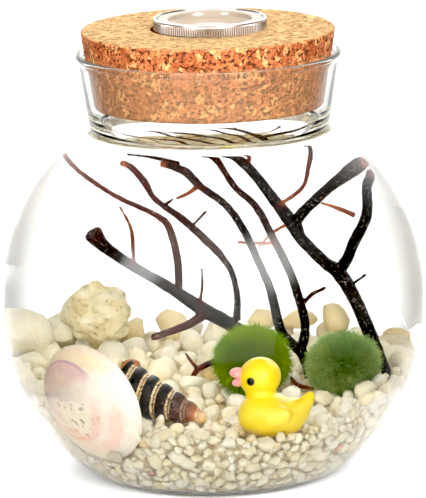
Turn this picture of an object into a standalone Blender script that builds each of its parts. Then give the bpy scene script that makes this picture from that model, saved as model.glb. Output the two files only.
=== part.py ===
"""A corked glass globe with two moss balls, three sea fans, shells, a toy duck, gravel and water."""

import math

import bmesh
import bpy
from mathutils import Vector, noise
from mathutils.geometry import delaunay_2d_cdt

# Units and clearances. Lengths below are millimetres and are turned into metres when a mesh is made.
MM = 0.001
GAP = 0.32
WALL_GAP = 0.8
POCKET_SCALE = 1.1
CLAM_ROOM = 0.5
TURRET_ROOM = 0.4
REACH_ERROR = 1e-4
WELD_DISTANCE = 0.01

# Jar. The globe's centre stands on the axis, and the base is at height zero.
GLOBE_RADIUS = 60.0
GLOBE_CENTRE = 48.5
GLOBE_WALL = 1.8
BASE_RADIUS = 33.0
BASE_THICKNESS = 3.0
FLOOR_RADIUS = 35.8
CREASE_HEIGHT = 98.2
NECK_WALL = 1.5
RIM_HEIGHT = 120.0
RIM_RADIUS = 37.2
BEAD_RADIUS = 0.95
NECK_TOP_RADIUS = 36.5
JAR_SEGMENTS = 32
LAMP_SEGMENTS = 26

# Cork stopper
CORK_BOTTOM = 105.4
CORK_TOP = 126.4
CORK_BOTTOM_RADIUS = 32.85
CORK_TOP_RADIUS = 35.7
CORK_EDGE = 0.6

# Lamp set in the cork
LAMP_X = 0.7
LAMP_RADIUS = 15.85
LAMP_TOP = 129.6
LAMP_BODY_HEIGHT = 6.2
RING_HEIGHT = 5.4
RING_BORE = 14.9
LENS_DISH_RADIUS = 11.6
LENS_DISH_DEPTH = 1.9

# Water level, and the gravel bed: it slopes up to the back as far as BED_LEVEL_FROM, and rises to both sides
WATER_LEVEL = 97.6
BED_MIDDLE = 28.4
BED_SLOPE = 0.158
BED_LEVEL_FROM = 17.0
BED_SIDE_RISE = 2.6
BED_SIDE_REACH = 51.0

# Pebbles of the bed's top: their spacing, how far each is shifted, its rise, the dip beside it, and the edge left flat
PEBBLE_PITCH = 9.2
PEBBLE_SHIFT = 2.2
SHIFT_ACROSS = Vector((3.7, 1.9, 5.3))
SHIFT_BACK = Vector((8.1, 6.4, 2.6))
PEBBLE_RISE = 1.7
PEBBLE_DIP = 1.2
PEBBLE_EDGE = 3.4

# Big stones that stand up from the bed at the back and at both sides: centre and radius
BACK_STONES = [((7.9, 47.0, 33.2), 2.7), ((13.8, 46.5, 33.6), 2.6), ((19.8, 43.5, 34.1), 2.9),
               ((-6.5, 47.0, 32.6), 3.0), ((-13.3, 46.0, 32.5), 2.9), ((-31.0, 33.0, 36.0), 3.8),
               ((-25.0, 39.5, 34.0), 3.6), ((45.0, 8.0, 35.6), 3.4), ((-44.0, 12.0, 35.8), 3.6)]
STONE_LUMP = 0.3

# Moss balls: centre and half axes
MOSS_BALLS = {
    "moss_ball_left": ((8.0, -1.0, 35.0), (8.1, 8.1, 7.5)),
    "moss_ball_right": ((27.6, -1.0, 33.8), (8.1, 8.1, 6.8)),
}

# Toy duck, facing -X
DUCK_Y = -38.0
DUCK_ROUNDS = {
    "duck_body": ((13.7, DUCK_Y, 27.2), (8.4, 7.2, 6.6)),
    "duck_head": ((11.4, DUCK_Y, 36.7), (4.95, 4.95, 4.95)),
    "duck_neck": ((11.7, DUCK_Y, 31.4), (4.8, 4.7, 3.4)),
    "duck_beak": ((6.4, DUCK_Y, 37.4), (2.7, 2.6, 2.2)),
}
DUCK_TAIL = ((16.5, DUCK_Y, 27.0), (24.6, DUCK_Y, 32.6))
DUCK_TAIL_RADII = (4.9, 0.8)
DUCK_FINE_PARTS = ("duck_body", "duck_head")

# Clam valve: the ends of its two long axes, and how far its dome stands out
CLAM_UMBO = Vector((-43.2, -20.6, 30.0))
CLAM_MARGIN = Vector((-19.0, -40.6, 26.0))
CLAM_CREST = Vector((-36.0, -32.0, 45.2))
CLAM_FOOT = Vector((-27.2, -30.6, 12.2))
CLAM_DOME = 6.6
CLAM_THICKNESS = 1.4

# Turret shell: wide end, tip and greatest radius
TURRET_BUTT = Vector((-22.0, -14.2, 32.2))
TURRET_TIP = Vector((-2.0, -24.5, 25.0))
TURRET_RADIUS = 6.3
TURRET_WHORLS = 7
TURRET_TAPER = 0.6

# Coral lump at the back left: centre and half axes
CORAL_CENTRE = (-19.6, 37.0, 37.6)
CORAL_AXES = (5.0, 4.3, 5.3)
CORAL_LUMP = 0.25

# Sea fan limbs: each point is x, y, z and the diameter there
FAN_SIDES = 5
FAN_STEP = 7.0
LIMBS = {
    "left_trunk": [(-24.2, 13, 59.6, 3.9), (-21.7, 13.5, 56.6, 2.5), (-15.7, 14, 52.1, 2.0), (-8.2, 14.5, 47.3, 2.2),
                   (-2.0, 15, 42.8, 2.8), (2.8, 15.5, 39.9, 2.7), (7.5, 16, 36, 2.6), (10, 16.5, 31, 2.4),
                   (10.4, 16.5, 28, 2.2)],
    "left_long": [(-6.7, 14.3, 46.5, 1.4), (-7.1, 13, 54.2, 1.5), (-8.7, 12, 60.8, 1.4), (-10.5, 11.5, 63.1, 1.2),
                  (-13.4, 11, 65.0, 1.0), (-20.3, 10, 68.9, 0.9), (-28.5, 9, 75.4, 0.9), (-35.0, 8, 82.8, 1.1)],
    "left_curved": [(4.6, 15.6, 40.4, 1.5), (4.8, 15.3, 45.4, 1.2), (3.8, 15, 50.4, 1.1), (2.3, 15, 53, 1.3),
                    (-0.1, 14.5, 56.1, 1.5), (-6.2, 14, 62.2, 1.4), (-11.4, 14, 66.3, 1.0), (-13.7, 14, 70.3, 1.4),
                    (-16.6, 14, 73.7, 1.2), (-18.3, 14, 74.4, 1.1)],
    "left_side": [(-1.6, 15, 42.0, 1.9), (-4.5, 13.5, 40.4, 1.7), (-8.2, 11.5, 39.4, 1.4), (-12.1, 9.5, 38.5, 1.3)],
    "left_twig_low": [(-2.7, 15, 43.6, 0.6), (-2.1, 15, 47.7, 0.5), (-2.1, 15, 51.3, 0.4)],
    "left_twig_high": [(-15.7, 14, 52.8, 0.8), (-16, 13.5, 57, 0.7), (-16.5, 13, 60.8, 0.6), (-18.9, 12, 65.7, 0.4)],
    "left_spur_low": [(-3.9, 14.2, 60.4, 0.5), (-1.05, 14, 63.5, 0.4)],
    "left_spur_high": [(-9.8, 14, 64.8, 0.6), (-7.7, 14, 66.3, 0.4)],
    "middle_foot": [(18.6, 15, 27.6, 2.0), (18.1, 14.6, 31.4, 2.1), (17.0, 14, 34.6, 2.2)],
    "middle_left": [(17.0, 14, 34.1, 1.9), (15.2, 14, 36.0, 1.8), (13.5, 14, 38.0, 1.8), (12.8, 13.5, 40.5, 1.9),
                    (11.5, 12.5, 47.5, 1.7), (9.2, 12, 53.6, 1.5), (6.8, 11.5, 59.7, 1.5), (3.15, 10.5, 65.8, 1.4),
                    (-1.95, 10, 70.2, 1.5), (-5.2, 9.5, 73.9, 1.8), (-7.8, 9, 75.3, 1.4), (-10.2, 9, 76, 1.1)],
    "middle_left_tip": [(-6.6, 9.2, 75.9, 1.0), (-12.9, 9, 78.0, 0.7), (-17.9, 9, 78.9, 0.5)],
    "middle_left_twig": [(-2.4, 10, 70.8, 0.9), (-4.6, 10.5, 68.8, 0.8), (-7.2, 11, 67.4, 0.4)],
    "middle_right": [(16.9, 14, 34.2, 1.9), (17.8, 14.7, 37.1, 1.8), (18.0, 15, 39.7, 1.7), (17.1, 15, 44.4, 1.7),
                     (15.4, 15, 50.2, 1.6), (12.8, 15, 56.1, 1.5), (9.1, 15, 63.9, 1.3), (5.0, 15, 68.1, 1.2),
                     (2.2, 15, 72.8, 1.2), (1.4, 15, 74.2, 1.5), (0.0, 15, 75.1, 0.9), (-1.9, 15, 75.7, 0.6)],
    "middle_right_twig": [(17.6, 15, 43.4, 0.8), (19.7, 15, 45.5, 0.7), (22.4, 15, 46.8, 0.5)],
    "middle_cross_twig": [(12.6, 15, 56.2, 0.6), (8.5, 14.6, 56.4, 0.6), (5.2, 14.2, 56.8, 0.4)],
    "right_trunk": [(33.8, 12, 27.8, 2.6), (33.1, 12, 31.0, 2.6), (30.8, 12, 38.5, 2.6), (28.2, 13, 45.0, 2.6),
                    (25.3, 14, 50.0, 2.9), (22.7, 14.5, 51.9, 2.4), (18.0, 16, 56.5, 2.3), (16.4, 17, 59.2, 2.9),
                    (12.8, 18, 63.9, 2.2), (9.0, 19, 69.0, 1.9), (6.0, 20, 71.9, 1.8), (4.4, 20, 72.7, 1.1),
                    (2.2, 20, 73.3, 0.6)],
    "right_twig": [(27.4, 13.4, 47.4, 0.6), (30.9, 13, 49.9, 0.4)],
    "right_cross_twig": [(15.6, 17.6, 59.6, 0.6), (12.0, 18, 57.4, 0.6), (8.9, 18, 54.2, 0.4)],
    "right_hook": [(7.3, 20, 70.4, 0.8), (7.8, 20, 72.6, 0.7), (6.5, 20, 73.6, 0.5)],
    "right_upper_twig": [(13.6, 18, 63.2, 0.7), (18.4, 17, 67.1, 0.7), (20.2, 15, 72.6, 0.9), (21.0, 14, 75.9, 1.0),
                         (21.0, 13, 78.5, 0.8), (19.6, 13, 78.9, 0.5)],
    "right_inner": [(16.4, 17, 59.6, 2.4), (19.2, 16, 63.0, 2.1), (24.3, 14, 68.2, 2.1), (27.1, 13, 70.6, 2.6),
                    (29.3, 12.6, 72.5, 3.1), (32.4, 12.5, 74.9, 3.3), (34.4, 12.5, 76.2, 2.4)],
    "right_outer": [(25.0, 14, 50.0, 2.4), (27.3, 13.5, 53.3, 2.2), (28.7, 13, 56.4, 2.2), (32.3, 11.5, 63.0, 2.3),
                    (33.7, 10, 70.2, 2.3), (35.6, 9, 73.5, 2.4), (36.4, 8.6, 75.2, 2.3)],
    "right_outer_twig": [(29.6, 11.8, 62.9, 1.0), (26.3, 12.2, 64.2, 0.8), (22.6, 12.6, 65.4, 0.4)],
    "loose_left": [(4.5, 15, 33.4, 1.0), (-0.4, 14.2, 32.4, 1.1), (-3.5, 14, 30.8, 1.1), (-4.2, 14.4, 29.4, 0.9)],
    "loose_left_spur": [(-3.2, 14, 31.0, 0.6), (-4.3, 14, 32.4, 0.6), (-5.7, 14, 34.4, 0.4)],
    "loose_right": [(15.7, 3, 30.9, 0.6), (16.9, 2.5, 29.4, 0.8), (19.0, 2, 28.7, 0.8), (20.6, 1.5, 28.5, 0.7)],
}

# Nodes made of limbs: the first limb is the stem, and the others grow from it
FAN_NODES = {
    "sea_fan_left_trunk": ["left_trunk", "left_twig_low", "left_twig_high"],
    "sea_fan_left_long_limb": ["left_long"],
    "sea_fan_left_curved_limb": ["left_curved", "left_spur_low", "left_spur_high"],
    "sea_fan_left_side_limb": ["left_side"],
    "sea_fan_middle_foot": ["middle_foot"],
    "sea_fan_middle_left_limb": ["middle_left", "middle_left_tip", "middle_left_twig"],
    "sea_fan_middle_right_limb": ["middle_right", "middle_right_twig", "middle_cross_twig"],
    "sea_fan_right_trunk": ["right_trunk", "right_twig", "right_cross_twig", "right_hook"],
    "sea_fan_right_upper_twig": ["right_upper_twig"],
    "sea_fan_right_inner_limb": ["right_inner"],
    "sea_fan_right_outer_limb": ["right_outer", "right_outer_twig"],
    "loose_twig_left": ["loose_left", "loose_left_spur"],
    "loose_twig_right": ["loose_right"],
}

# Which older limb each forking node is parted from
FORKS = {
    "sea_fan_left_long_limb": ["left_trunk"],
    "sea_fan_left_curved_limb": ["left_trunk"],
    "sea_fan_left_side_limb": ["left_trunk"],
    "sea_fan_middle_left_limb": ["middle_foot"],
    "sea_fan_middle_right_limb": ["middle_foot", "middle_left"],
    "sea_fan_right_upper_twig": ["right_trunk"],
    "sea_fan_right_inner_limb": ["right_trunk"],
    "sea_fan_right_outer_limb": ["right_trunk"],
}

# Colours: base colour, roughness, metallic
GLASS = ((0.85, 0.9, 0.88), 0.03, 0.0)
CORK = ((0.62, 0.38, 0.2), 0.85, 0.0)
CHROME = ((0.85, 0.86, 0.88), 0.18, 1.0)
CLEAR_PLASTIC = ((0.88, 0.88, 0.88), 0.1, 0.0)
WHITE_PLASTIC = ((0.8, 0.8, 0.78), 0.4, 0.0)
WATER = ((0.8, 0.88, 0.9), 0.02, 0.0)
GRAVEL = ((0.8, 0.72, 0.52), 0.75, 0.0)
CORAL = ((0.82, 0.76, 0.6), 0.8, 0.0)
MOSS = ((0.09, 0.2, 0.03), 0.95, 0.0)
DUCK = ((0.95, 0.72, 0.08), 0.4, 0.0)
CLAM = ((0.82, 0.66, 0.58), 0.35, 0.0)
TURRET = ((0.1, 0.08, 0.08), 0.4, 0.0)
FAN = ((0.06, 0.035, 0.03), 0.7, 0.0)


def clear_scene():
    """Remove every object that is in the scene."""
    for item in list(bpy.data.objects):
        bpy.data.objects.remove(item, do_unlink=True)


def material(name, look):
    """Principled material with one colour, roughness and metallic value."""
    colour, roughness, metallic = look
    made = bpy.data.materials.new(name)
    made.use_nodes = True
    shader = made.node_tree.nodes["Principled BSDF"]
    shader.inputs["Base Color"].default_value = (*colour, 1.0)
    shader.inputs["Roughness"].default_value = roughness
    shader.inputs["Metallic"].default_value = metallic
    return made


def mesh_object(name, vertices, faces, look=None):
    """Object from millimetre vertices, facing out, shaded smooth between its sharp edges."""
    mesh = bpy.data.meshes.new(name)
    mesh.from_pydata([Vector(v) * MM for v in vertices], [], faces)
    body = bmesh.new()
    body.from_mesh(mesh)
    bmesh.ops.recalc_face_normals(body, faces=body.faces)
    body.to_mesh(mesh)
    body.free()
    mesh.shade_smooth()
    mesh.set_sharp_from_angle(angle=math.radians(40))
    made = bpy.data.objects.new(name, mesh)
    bpy.context.scene.collection.objects.link(made)
    if look:
        mesh.materials.append(material(name, look))
    return made


def grid_faces(rings, count, first=0):
    """Quads that join rings of vertices, each ring with the same count."""
    faces = []
    for ring in range(rings - 1):
        for side in range(count):
            near = first + ring * count
            after = (side + 1) % count
            faces.append((near + side, near + after, near + count + after, near + count + side))
    return faces


def turned(name, profile, look, centre=(0.0, 0.0), segments=JAR_SEGMENTS):
    """Solid of revolution about an upright axis, from a closed outline of (radius, height) points."""
    vertices = []
    rings = []
    for radius, height in profile:
        rings.append(len(vertices))
        sides = 1 if radius < 1e-6 else segments
        for side in range(sides):
            angle = 2 * math.pi * side / segments
            x = centre[0] + radius * math.cos(angle)
            y = centre[1] + radius * math.sin(angle)
            vertices.append((x, y, height))
    faces = []
    for here, (radius, _) in enumerate(profile):
        there = (here + 1) % len(profile)
        low, high = rings[here], rings[there]
        low_point = radius < 1e-6
        high_point = profile[there][0] < 1e-6
        if low_point and high_point:
            continue
        for side in range(segments):
            after = (side + 1) % segments
            if low_point:
                faces.append((low, high + after, high + side))
            elif high_point:
                faces.append((low + side, low + after, high))
            else:
                faces.append((low + side, low + after, high + after, high + side))
    return mesh_object(name, vertices, faces, look)


def arc(centre, radius, start, end, steps):
    """Points of an arc in a profile, angles in degrees from the horizontal."""
    points = []
    for step in range(steps + 1):
        angle = math.radians(start + (end - start) * step / steps)
        points.append((centre[0] + radius * math.cos(angle), centre[1] + radius * math.sin(angle)))
    return points


def angle_at(radius, height):
    """Angle, in degrees above the horizontal, at which a sphere about the globe's centre is at a height."""
    return math.degrees(math.asin((height - GLOBE_CENTRE) / radius))


def boolean(target, cutter, operation):
    """Apply an exact Boolean and remove the cutter."""
    change = target.modifiers.new(operation, "BOOLEAN")
    change.operation = operation
    change.solver = "EXACT"
    change.object = cutter
    graph = bpy.context.evaluated_depsgraph_get()
    result = bpy.data.meshes.new_from_object(target.evaluated_get(graph))
    target.modifiers.remove(change)
    target.data = result
    bpy.data.objects.remove(cutter, do_unlink=True)


def keep_main_body(target):
    """Drop crumbs that a cut has parted from the main body, and weld points that all but touch."""
    body = bmesh.new()
    body.from_mesh(target.data)
    bmesh.ops.remove_doubles(body, verts=body.verts, dist=WELD_DISTANCE * MM)
    bmesh.ops.dissolve_degenerate(body, edges=body.edges, dist=WELD_DISTANCE * MM)
    unseen = set(body.verts)
    islands = []
    while unseen:
        start = unseen.pop()
        island = {start}
        queue = [start]
        while queue:
            for edge in queue.pop().link_edges:
                for vertex in edge.verts:
                    if vertex in unseen:
                        unseen.discard(vertex)
                        island.add(vertex)
                        queue.append(vertex)
        islands.append(island)
    islands.sort(key=len)
    for island in islands[:-1]:
        bmesh.ops.delete(body, geom=list(island), context="VERTS")
    body.to_mesh(target.data)
    body.free()


def smooth_points(points, step):
    """Catmull-Rom curve through points of any dimension, with a point about every step."""
    ends = [Vector(point) for point in points]
    path = [2 * ends[0] - ends[1]] + ends + [2 * ends[-1] - ends[-2]]
    result = []
    for here in range(1, len(path) - 2):
        before, start, end, after = path[here - 1:here + 3]
        length = (Vector(end[:3]) - Vector(start[:3])).length
        pieces = max(1, round(length / step))
        for piece in range(pieces):
            t = piece / pieces
            point = 0.5 * (2 * start + (end - before) * t + (2 * before - 5 * start + 4 * end - after) * t * t
                           + (3 * start - before - 3 * end + after) * t ** 3)
            result.append(point)
    result.append(ends[-1])
    return result


def limb(name, grow=0.0, look=None):
    """Closed tapering tube along one of the limbs, fattened by grow on every side."""
    path = smooth_points([Vector(point) for point in LIMBS[name]], FAN_STEP)
    places = [Vector(point[:3]) for point in path]
    radii = [point[3] / 2 + grow for point in path]
    start = (places[0] - places[1]).normalized() * grow
    end = (places[-1] - places[-2]).normalized() * grow
    places[0] = places[0] + start
    places[-1] = places[-1] + end
    vertices = []
    side_way = Vector((0, 1, 0))
    for here, place in enumerate(places):
        along = (places[min(here + 1, len(places) - 1)] - places[max(here - 1, 0)]).normalized()
        across = along.cross(side_way).normalized()
        upward = across.cross(along).normalized()
        for side in range(FAN_SIDES):
            angle = 2 * math.pi * side / FAN_SIDES
            vertices.append(place + radii[here] * (math.cos(angle) * across + math.sin(angle) * upward))
    faces = grid_faces(len(places), FAN_SIDES)
    last = len(vertices) - FAN_SIDES
    faces.append(tuple(range(FAN_SIDES)))
    faces.append(tuple(range(last, last + FAN_SIDES)))
    return mesh_object(name, vertices, faces, look)


def lumpy_ball(name, centre, axes, look=None, grow=0.0, lump=0.0, detail=3):
    """Ellipsoid with soft lumps, from an icosphere."""
    body = bmesh.new()
    bmesh.ops.create_icosphere(body, subdivisions=detail, radius=1.0)
    vertices = []
    for vertex in body.verts:
        way = vertex.co.normalized()
        size = 1.0 + lump * noise.noise(way * 1.9 + Vector(centre))
        vertices.append(tuple(centre[axis] + way[axis] * (axes[axis] * size + grow) for axis in range(3)))
    faces = [tuple(vertex.index for vertex in face.verts) for face in body.faces]
    body.free()
    return mesh_object(name, vertices, faces, look)


def glass_jar():
    """Globe with a flat base, a crease and a flared neck with a rolled rim."""
    centre = (0.0, GLOBE_CENTRE)
    inner_radius = GLOBE_RADIUS - GLOBE_WALL
    outer_start = angle_at(GLOBE_RADIUS, 2.2)
    outer_end = angle_at(GLOBE_RADIUS, CREASE_HEIGHT)
    inner_start = angle_at(inner_radius, BASE_THICKNESS + 1.0)
    inner_end = angle_at(inner_radius, WATER_LEVEL + 0.4)
    neck_inner = NECK_TOP_RADIUS - NECK_WALL
    cork_seat = CORK_BOTTOM_RADIUS + 0.3
    profile = [(0.0, 0.0), (BASE_RADIUS, 0.0), (BASE_RADIUS + 2.6, 0.7)]
    profile += arc(centre, GLOBE_RADIUS, outer_start, outer_end, 10)
    profile += [(NECK_TOP_RADIUS, RIM_HEIGHT - 2 * BEAD_RADIUS)]
    profile += arc((RIM_RADIUS - BEAD_RADIUS, RIM_HEIGHT - BEAD_RADIUS), BEAD_RADIUS, -30, 180, 3)
    profile += [(neck_inner, RIM_HEIGHT - 3.0), (cork_seat, CORK_BOTTOM), (31.6, CREASE_HEIGHT + 0.9)]
    profile += arc(centre, inner_radius, inner_end, inner_start, 10)
    profile += [(FLOOR_RADIUS, BASE_THICKNESS), (0.0, BASE_THICKNESS)]
    return turned("glass_jar", profile, GLASS)


def cork_stopper():
    """Tapered cork with softened edges and a round recess for the lamp."""
    recess = LAMP_RADIUS + 0.3
    profile = [(0.0, CORK_BOTTOM), (CORK_BOTTOM_RADIUS - CORK_EDGE, CORK_BOTTOM),
               (CORK_BOTTOM_RADIUS, CORK_BOTTOM + CORK_EDGE), (CORK_TOP_RADIUS, CORK_TOP - CORK_EDGE),
               (CORK_TOP_RADIUS - CORK_EDGE, CORK_TOP), (0.0, CORK_TOP)]
    made = turned("cork_stopper", profile, CORK)
    floor = LAMP_TOP - RING_HEIGHT - LAMP_BODY_HEIGHT - 2 * GAP
    hole = [(0.0, floor), (recess, floor), (recess, CORK_TOP + 5), (0.0, CORK_TOP + 5)]
    boolean(made, turned("recess", hole, None, (LAMP_X, 0.0), LAMP_SEGMENTS), "DIFFERENCE")
    keep_main_body(made)
    return made


def lamp():
    """Round lamp: a ring, a dished lens inside it and a flat body in the cork's recess below them."""
    ring_bottom = LAMP_TOP - RING_HEIGHT
    lip = 0.35
    ring = [(RING_BORE, ring_bottom), (LAMP_RADIUS, ring_bottom), (LAMP_RADIUS, LAMP_TOP - lip)]
    ring += [(LAMP_RADIUS - lip, LAMP_TOP), (RING_BORE, LAMP_TOP - 0.1)]
    turned("lamp_ring", ring, CHROME, (LAMP_X, 0.0), LAMP_SEGMENTS)
    lens_radius = RING_BORE - GAP
    lens_top = LAMP_TOP - 0.3
    floor = lens_top - LENS_DISH_DEPTH
    lens = [(0.0, ring_bottom + 0.3), (lens_radius, ring_bottom + 0.3), (lens_radius, lens_top)]
    lens += [(LENS_DISH_RADIUS + 0.6, lens_top), (LENS_DISH_RADIUS - 0.4, floor), (0.0, floor)]
    turned("lamp_lens", lens, CLEAR_PLASTIC, (LAMP_X, 0.0), LAMP_SEGMENTS)
    body_top = ring_bottom - GAP
    body = [(0.0, body_top - LAMP_BODY_HEIGHT), (LAMP_RADIUS - 0.3, body_top - LAMP_BODY_HEIGHT)]
    body += [(LAMP_RADIUS - 0.3, body_top), (0.0, body_top)]
    turned("lamp_body", body, WHITE_PLASTIC, (LAMP_X, 0.0), LAMP_SEGMENTS)


def bed_height(x, y):
    """Middle height of the gravel's top, without its pebbles."""
    return BED_MIDDLE + BED_SLOPE * min(y, BED_LEVEL_FROM) + BED_SIDE_RISE * (x / BED_SIDE_REACH) ** 2


def wall_reach(angle, radius, lift):
    """How far out from the axis the gravel's top, lifted a little, meets a sphere about the globe's centre."""
    near, far = 0.0, radius
    while far - near > REACH_ERROR:
        reach = (near + far) / 2
        height = bed_height(reach * math.cos(angle), reach * math.sin(angle)) + lift
        if reach ** 2 + (height - GLOBE_CENTRE) ** 2 < radius ** 2:
            near = reach
        else:
            far = reach
    return near


def edge_ring(radius, lift, segments):
    """Places where the gravel's top, lifted a little, meets the sphere, one for each side of the jar."""
    ring = []
    for side in range(segments):
        angle = 2 * math.pi * side / segments
        reach = wall_reach(angle, radius, lift)
        x, y = reach * math.cos(angle), reach * math.sin(angle)
        ring.append((x, y, bed_height(x, y) + lift))
    return ring


def shifted(x, y):
    """A place on the bed moved a little, always by the same amount for the same place."""
    here = Vector((x, y, 0.0))
    across = PEBBLE_SHIFT * noise.noise(here + SHIFT_ACROSS)
    back = PEBBLE_SHIFT * noise.noise(here + SHIFT_BACK)
    return Vector((x + across, y + back))


def pebble_points(radius):
    """Tops of the pebbles on a shifted triangular lattice, and the dips in the middle of every three of them."""
    row_step = PEBBLE_PITCH * math.sqrt(3) / 2
    count = math.ceil(GLOBE_RADIUS / row_step)
    points = []
    for row in range(-count, count + 1):
        for column in range(-count, count + 1):
            x = PEBBLE_PITCH * (column + row % 2 / 2)
            y = row_step * row
            corners = [(x, y, PEBBLE_RISE), (x + PEBBLE_PITCH / 2, y + row_step / 3, -PEBBLE_DIP),
                       (x, y + 2 * row_step / 3, -PEBBLE_DIP)]
            for across, back, rise in corners:
                place = shifted(across, back)
                if place.length < wall_reach(math.atan2(place.y, place.x), radius, 0.0) - PEBBLE_EDGE:
                    points.append((place.x, place.y, bed_height(place.x, place.y) + rise))
    return points


def sphere_rings(vertices, edge_ring, radius, end_height, rings, segments):
    """Add rings that run along a sphere from the edge of the gravel to a level."""
    for ring in range(1, rings + 1):
        for side in range(segments):
            start = angle_at(radius, vertices[edge_ring + side][2])
            end = angle_at(radius, end_height)
            rise = math.radians(start + (end - start) * ring / rings)
            turn = 2 * math.pi * side / segments
            out = radius * math.cos(rise)
            vertices.append((out * math.cos(turn), out * math.sin(turn), GLOBE_CENTRE + radius * math.sin(rise)))


def filling(name, look, lift, end_height, wall_rings, segments=JAR_SEGMENTS):
    """Solid between the gravel's top, lifted a little, the glass and a flat level above or below it."""
    radius = GLOBE_RADIUS - GLOBE_WALL - WALL_GAP
    pebbles = pebble_points(radius)
    plan = [Vector(point[:2]) for point in pebbles + edge_ring(radius, 0.0, segments)]
    first = len(pebbles)
    rim = [(first + side, first + (side + 1) % segments) for side in range(segments)]
    inside_the_rim = 1
    _, _, triangles, sources, _, _ = delaunay_2d_cdt(plan, rim, [], inside_the_rim, REACH_ERROR)
    faces = [tuple(sources[corner][0] for corner in triangle) for triangle in triangles]
    vertices = [(x, y, height + lift) for x, y, height in pebbles] + edge_ring(radius, lift, segments)
    sphere_rings(vertices, first, radius, end_height, wall_rings, segments)
    faces += grid_faces(wall_rings + 1, segments, first)
    last = first + wall_rings * segments
    faces.append(tuple(range(last, last + segments)))
    return mesh_object(name, vertices, faces, look)


def back_stone(number, grow=0.0):
    """One of the big stones, fattened by grow."""
    centre, radius = BACK_STONES[number]
    return lumpy_ball(f"back_stone_{number}", centre, (radius, radius, radius), None, grow, STONE_LUMP, 2)


def duck_parts(grow=0.0, scale=1.0, detail=3):
    """The duck's body, head, neck, beak and tail as overlapping closed shapes, each fattened by grow."""
    parts = []
    for name, (centre, axes) in DUCK_ROUNDS.items():
        wide = [axis * scale for axis in axes]
        parts.append(lumpy_ball(name, centre, wide, None, grow, 0.0, detail if name in DUCK_FINE_PARTS else 2))
    tail_start, tail_end = (Vector(point) for point in DUCK_TAIL)
    thick, thin = DUCK_TAIL_RADII
    parts.append(tapered("duck_tail", tail_start, tail_end, thick * scale, thin * scale, grow))
    return parts


def tapered(name, start, end, start_radius, end_radius, grow=0.0, sides=10):
    """Closed round taper between two points."""
    along = (end - start).normalized()
    across = along.cross(Vector((0, 1, 0))).normalized()
    upward = across.cross(along)
    vertices = []
    ends = ((start - along * grow, start_radius + grow), (end + along * grow, end_radius + grow))
    for place, radius in ends:
        for side in range(sides):
            angle = 2 * math.pi * side / sides
            vertices.append(place + radius * (math.cos(angle) * across + math.sin(angle) * upward))
    faces = grid_faces(2, sides)
    faces.append(tuple(range(sides)))
    faces.append(tuple(range(sides, 2 * sides)))
    return mesh_object(name, vertices, faces)


def toy_duck():
    """One moulded duck with a flat underside."""
    pieces = duck_parts()
    made = pieces[0]
    for piece in pieces[1:]:
        boolean(made, piece, "UNION")
    made.name = "toy_duck"
    made.data.materials.clear()
    made.data.materials.append(material("toy_duck", DUCK))
    keep_main_body(made)
    return made


def clam_frame():
    """Origin, the two in-plane axes and the outward normal of the clam valve, with its half sizes."""
    along = (CLAM_MARGIN - CLAM_UMBO).normalized()
    normal = along.cross(CLAM_CREST - CLAM_FOOT).normalized()
    if normal.y > 0:
        normal = -normal
    upward = normal.cross(along)
    if upward.z < 0:
        upward = -upward
    centre = (CLAM_UMBO + CLAM_MARGIN) / 2
    high = (CLAM_CREST - centre).dot(upward)
    low = (centre - CLAM_FOOT).dot(upward)
    return centre, along, upward, normal, (CLAM_MARGIN - CLAM_UMBO).length / 2, high, low


def clam_valve(name, grow=0.0, look=None, rings=4, segments=20):
    """Domed valve: growth rings spread from the umbo, with the same dome inside as outside."""
    centre, along, upward, normal, half, high, low = clam_frame()
    vertices = []
    for skin in (1, -1):
        shift = skin * (CLAM_THICKNESS / 2 + grow)
        for ring in range(rings + 1):
            share = ring / rings
            for side in range(1 if ring == 0 else segments):
                angle = 2 * math.pi * side / segments
                u = math.cos(angle)
                v = math.sin(angle)
                size = share * (1 + (grow / half))
                dome = CLAM_DOME * (1 - share ** 2.2)
                place = centre + along * (half * size * u) + upward * (size * v * (high if v > 0 else low))
                vertices.append(place + normal * (dome + shift))
    count = len(vertices) // 2
    faces = []
    for first in (0, count):
        faces += [(first, first + 1 + side, first + 1 + (side + 1) % segments) for side in range(segments)]
        faces += grid_faces(rings, segments, first + 1)
    edge = 1 + (rings - 1) * segments
    for side in range(segments):
        after = (side + 1) % segments
        faces.append((edge + side, edge + after, count + edge + after, count + edge + side))
    return mesh_object(name, vertices, faces, look)


def turret_profile(grow):
    """Outline of the turret shell from its wide end to its tip, stepped at each whorl."""
    length = (TURRET_TIP - TURRET_BUTT).length
    points = [(-grow, TURRET_RADIUS * 0.5), (0.06 * length, TURRET_RADIUS * 0.93)]
    for whorl in range(TURRET_WHORLS):
        start = 0.14 + 0.86 * whorl / TURRET_WHORLS
        middle = start + 0.5 * 0.86 / TURRET_WHORLS
        for share, bulge in ((start, 0.95), (middle, 1.06)):
            points.append((share * length, TURRET_RADIUS * bulge * (1.04 - share) ** TURRET_TAPER))
    points.append((length + grow, 0.35))
    return [(reach, radius + grow) for reach, radius in points]


def turret_shell(name, grow=0.0, look=None, sides=12):
    """Turret shell lying on its side."""
    along = (TURRET_TIP - TURRET_BUTT).normalized()
    across = along.cross(Vector((0, 0, 1))).normalized()
    upward = across.cross(along)
    vertices = []
    profile = turret_profile(grow)
    for reach, radius in profile:
        for side in range(sides):
            angle = 2 * math.pi * side / sides
            spoke = math.cos(angle) * across + math.sin(angle) * upward
            vertices.append(TURRET_BUTT + along * reach + spoke * radius)
    faces = grid_faces(len(profile), sides)
    last = (len(profile) - 1) * sides
    faces.append(tuple(range(sides)))
    faces.append(tuple(range(last, last + sides)))
    return mesh_object(name, vertices, faces, look)


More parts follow.
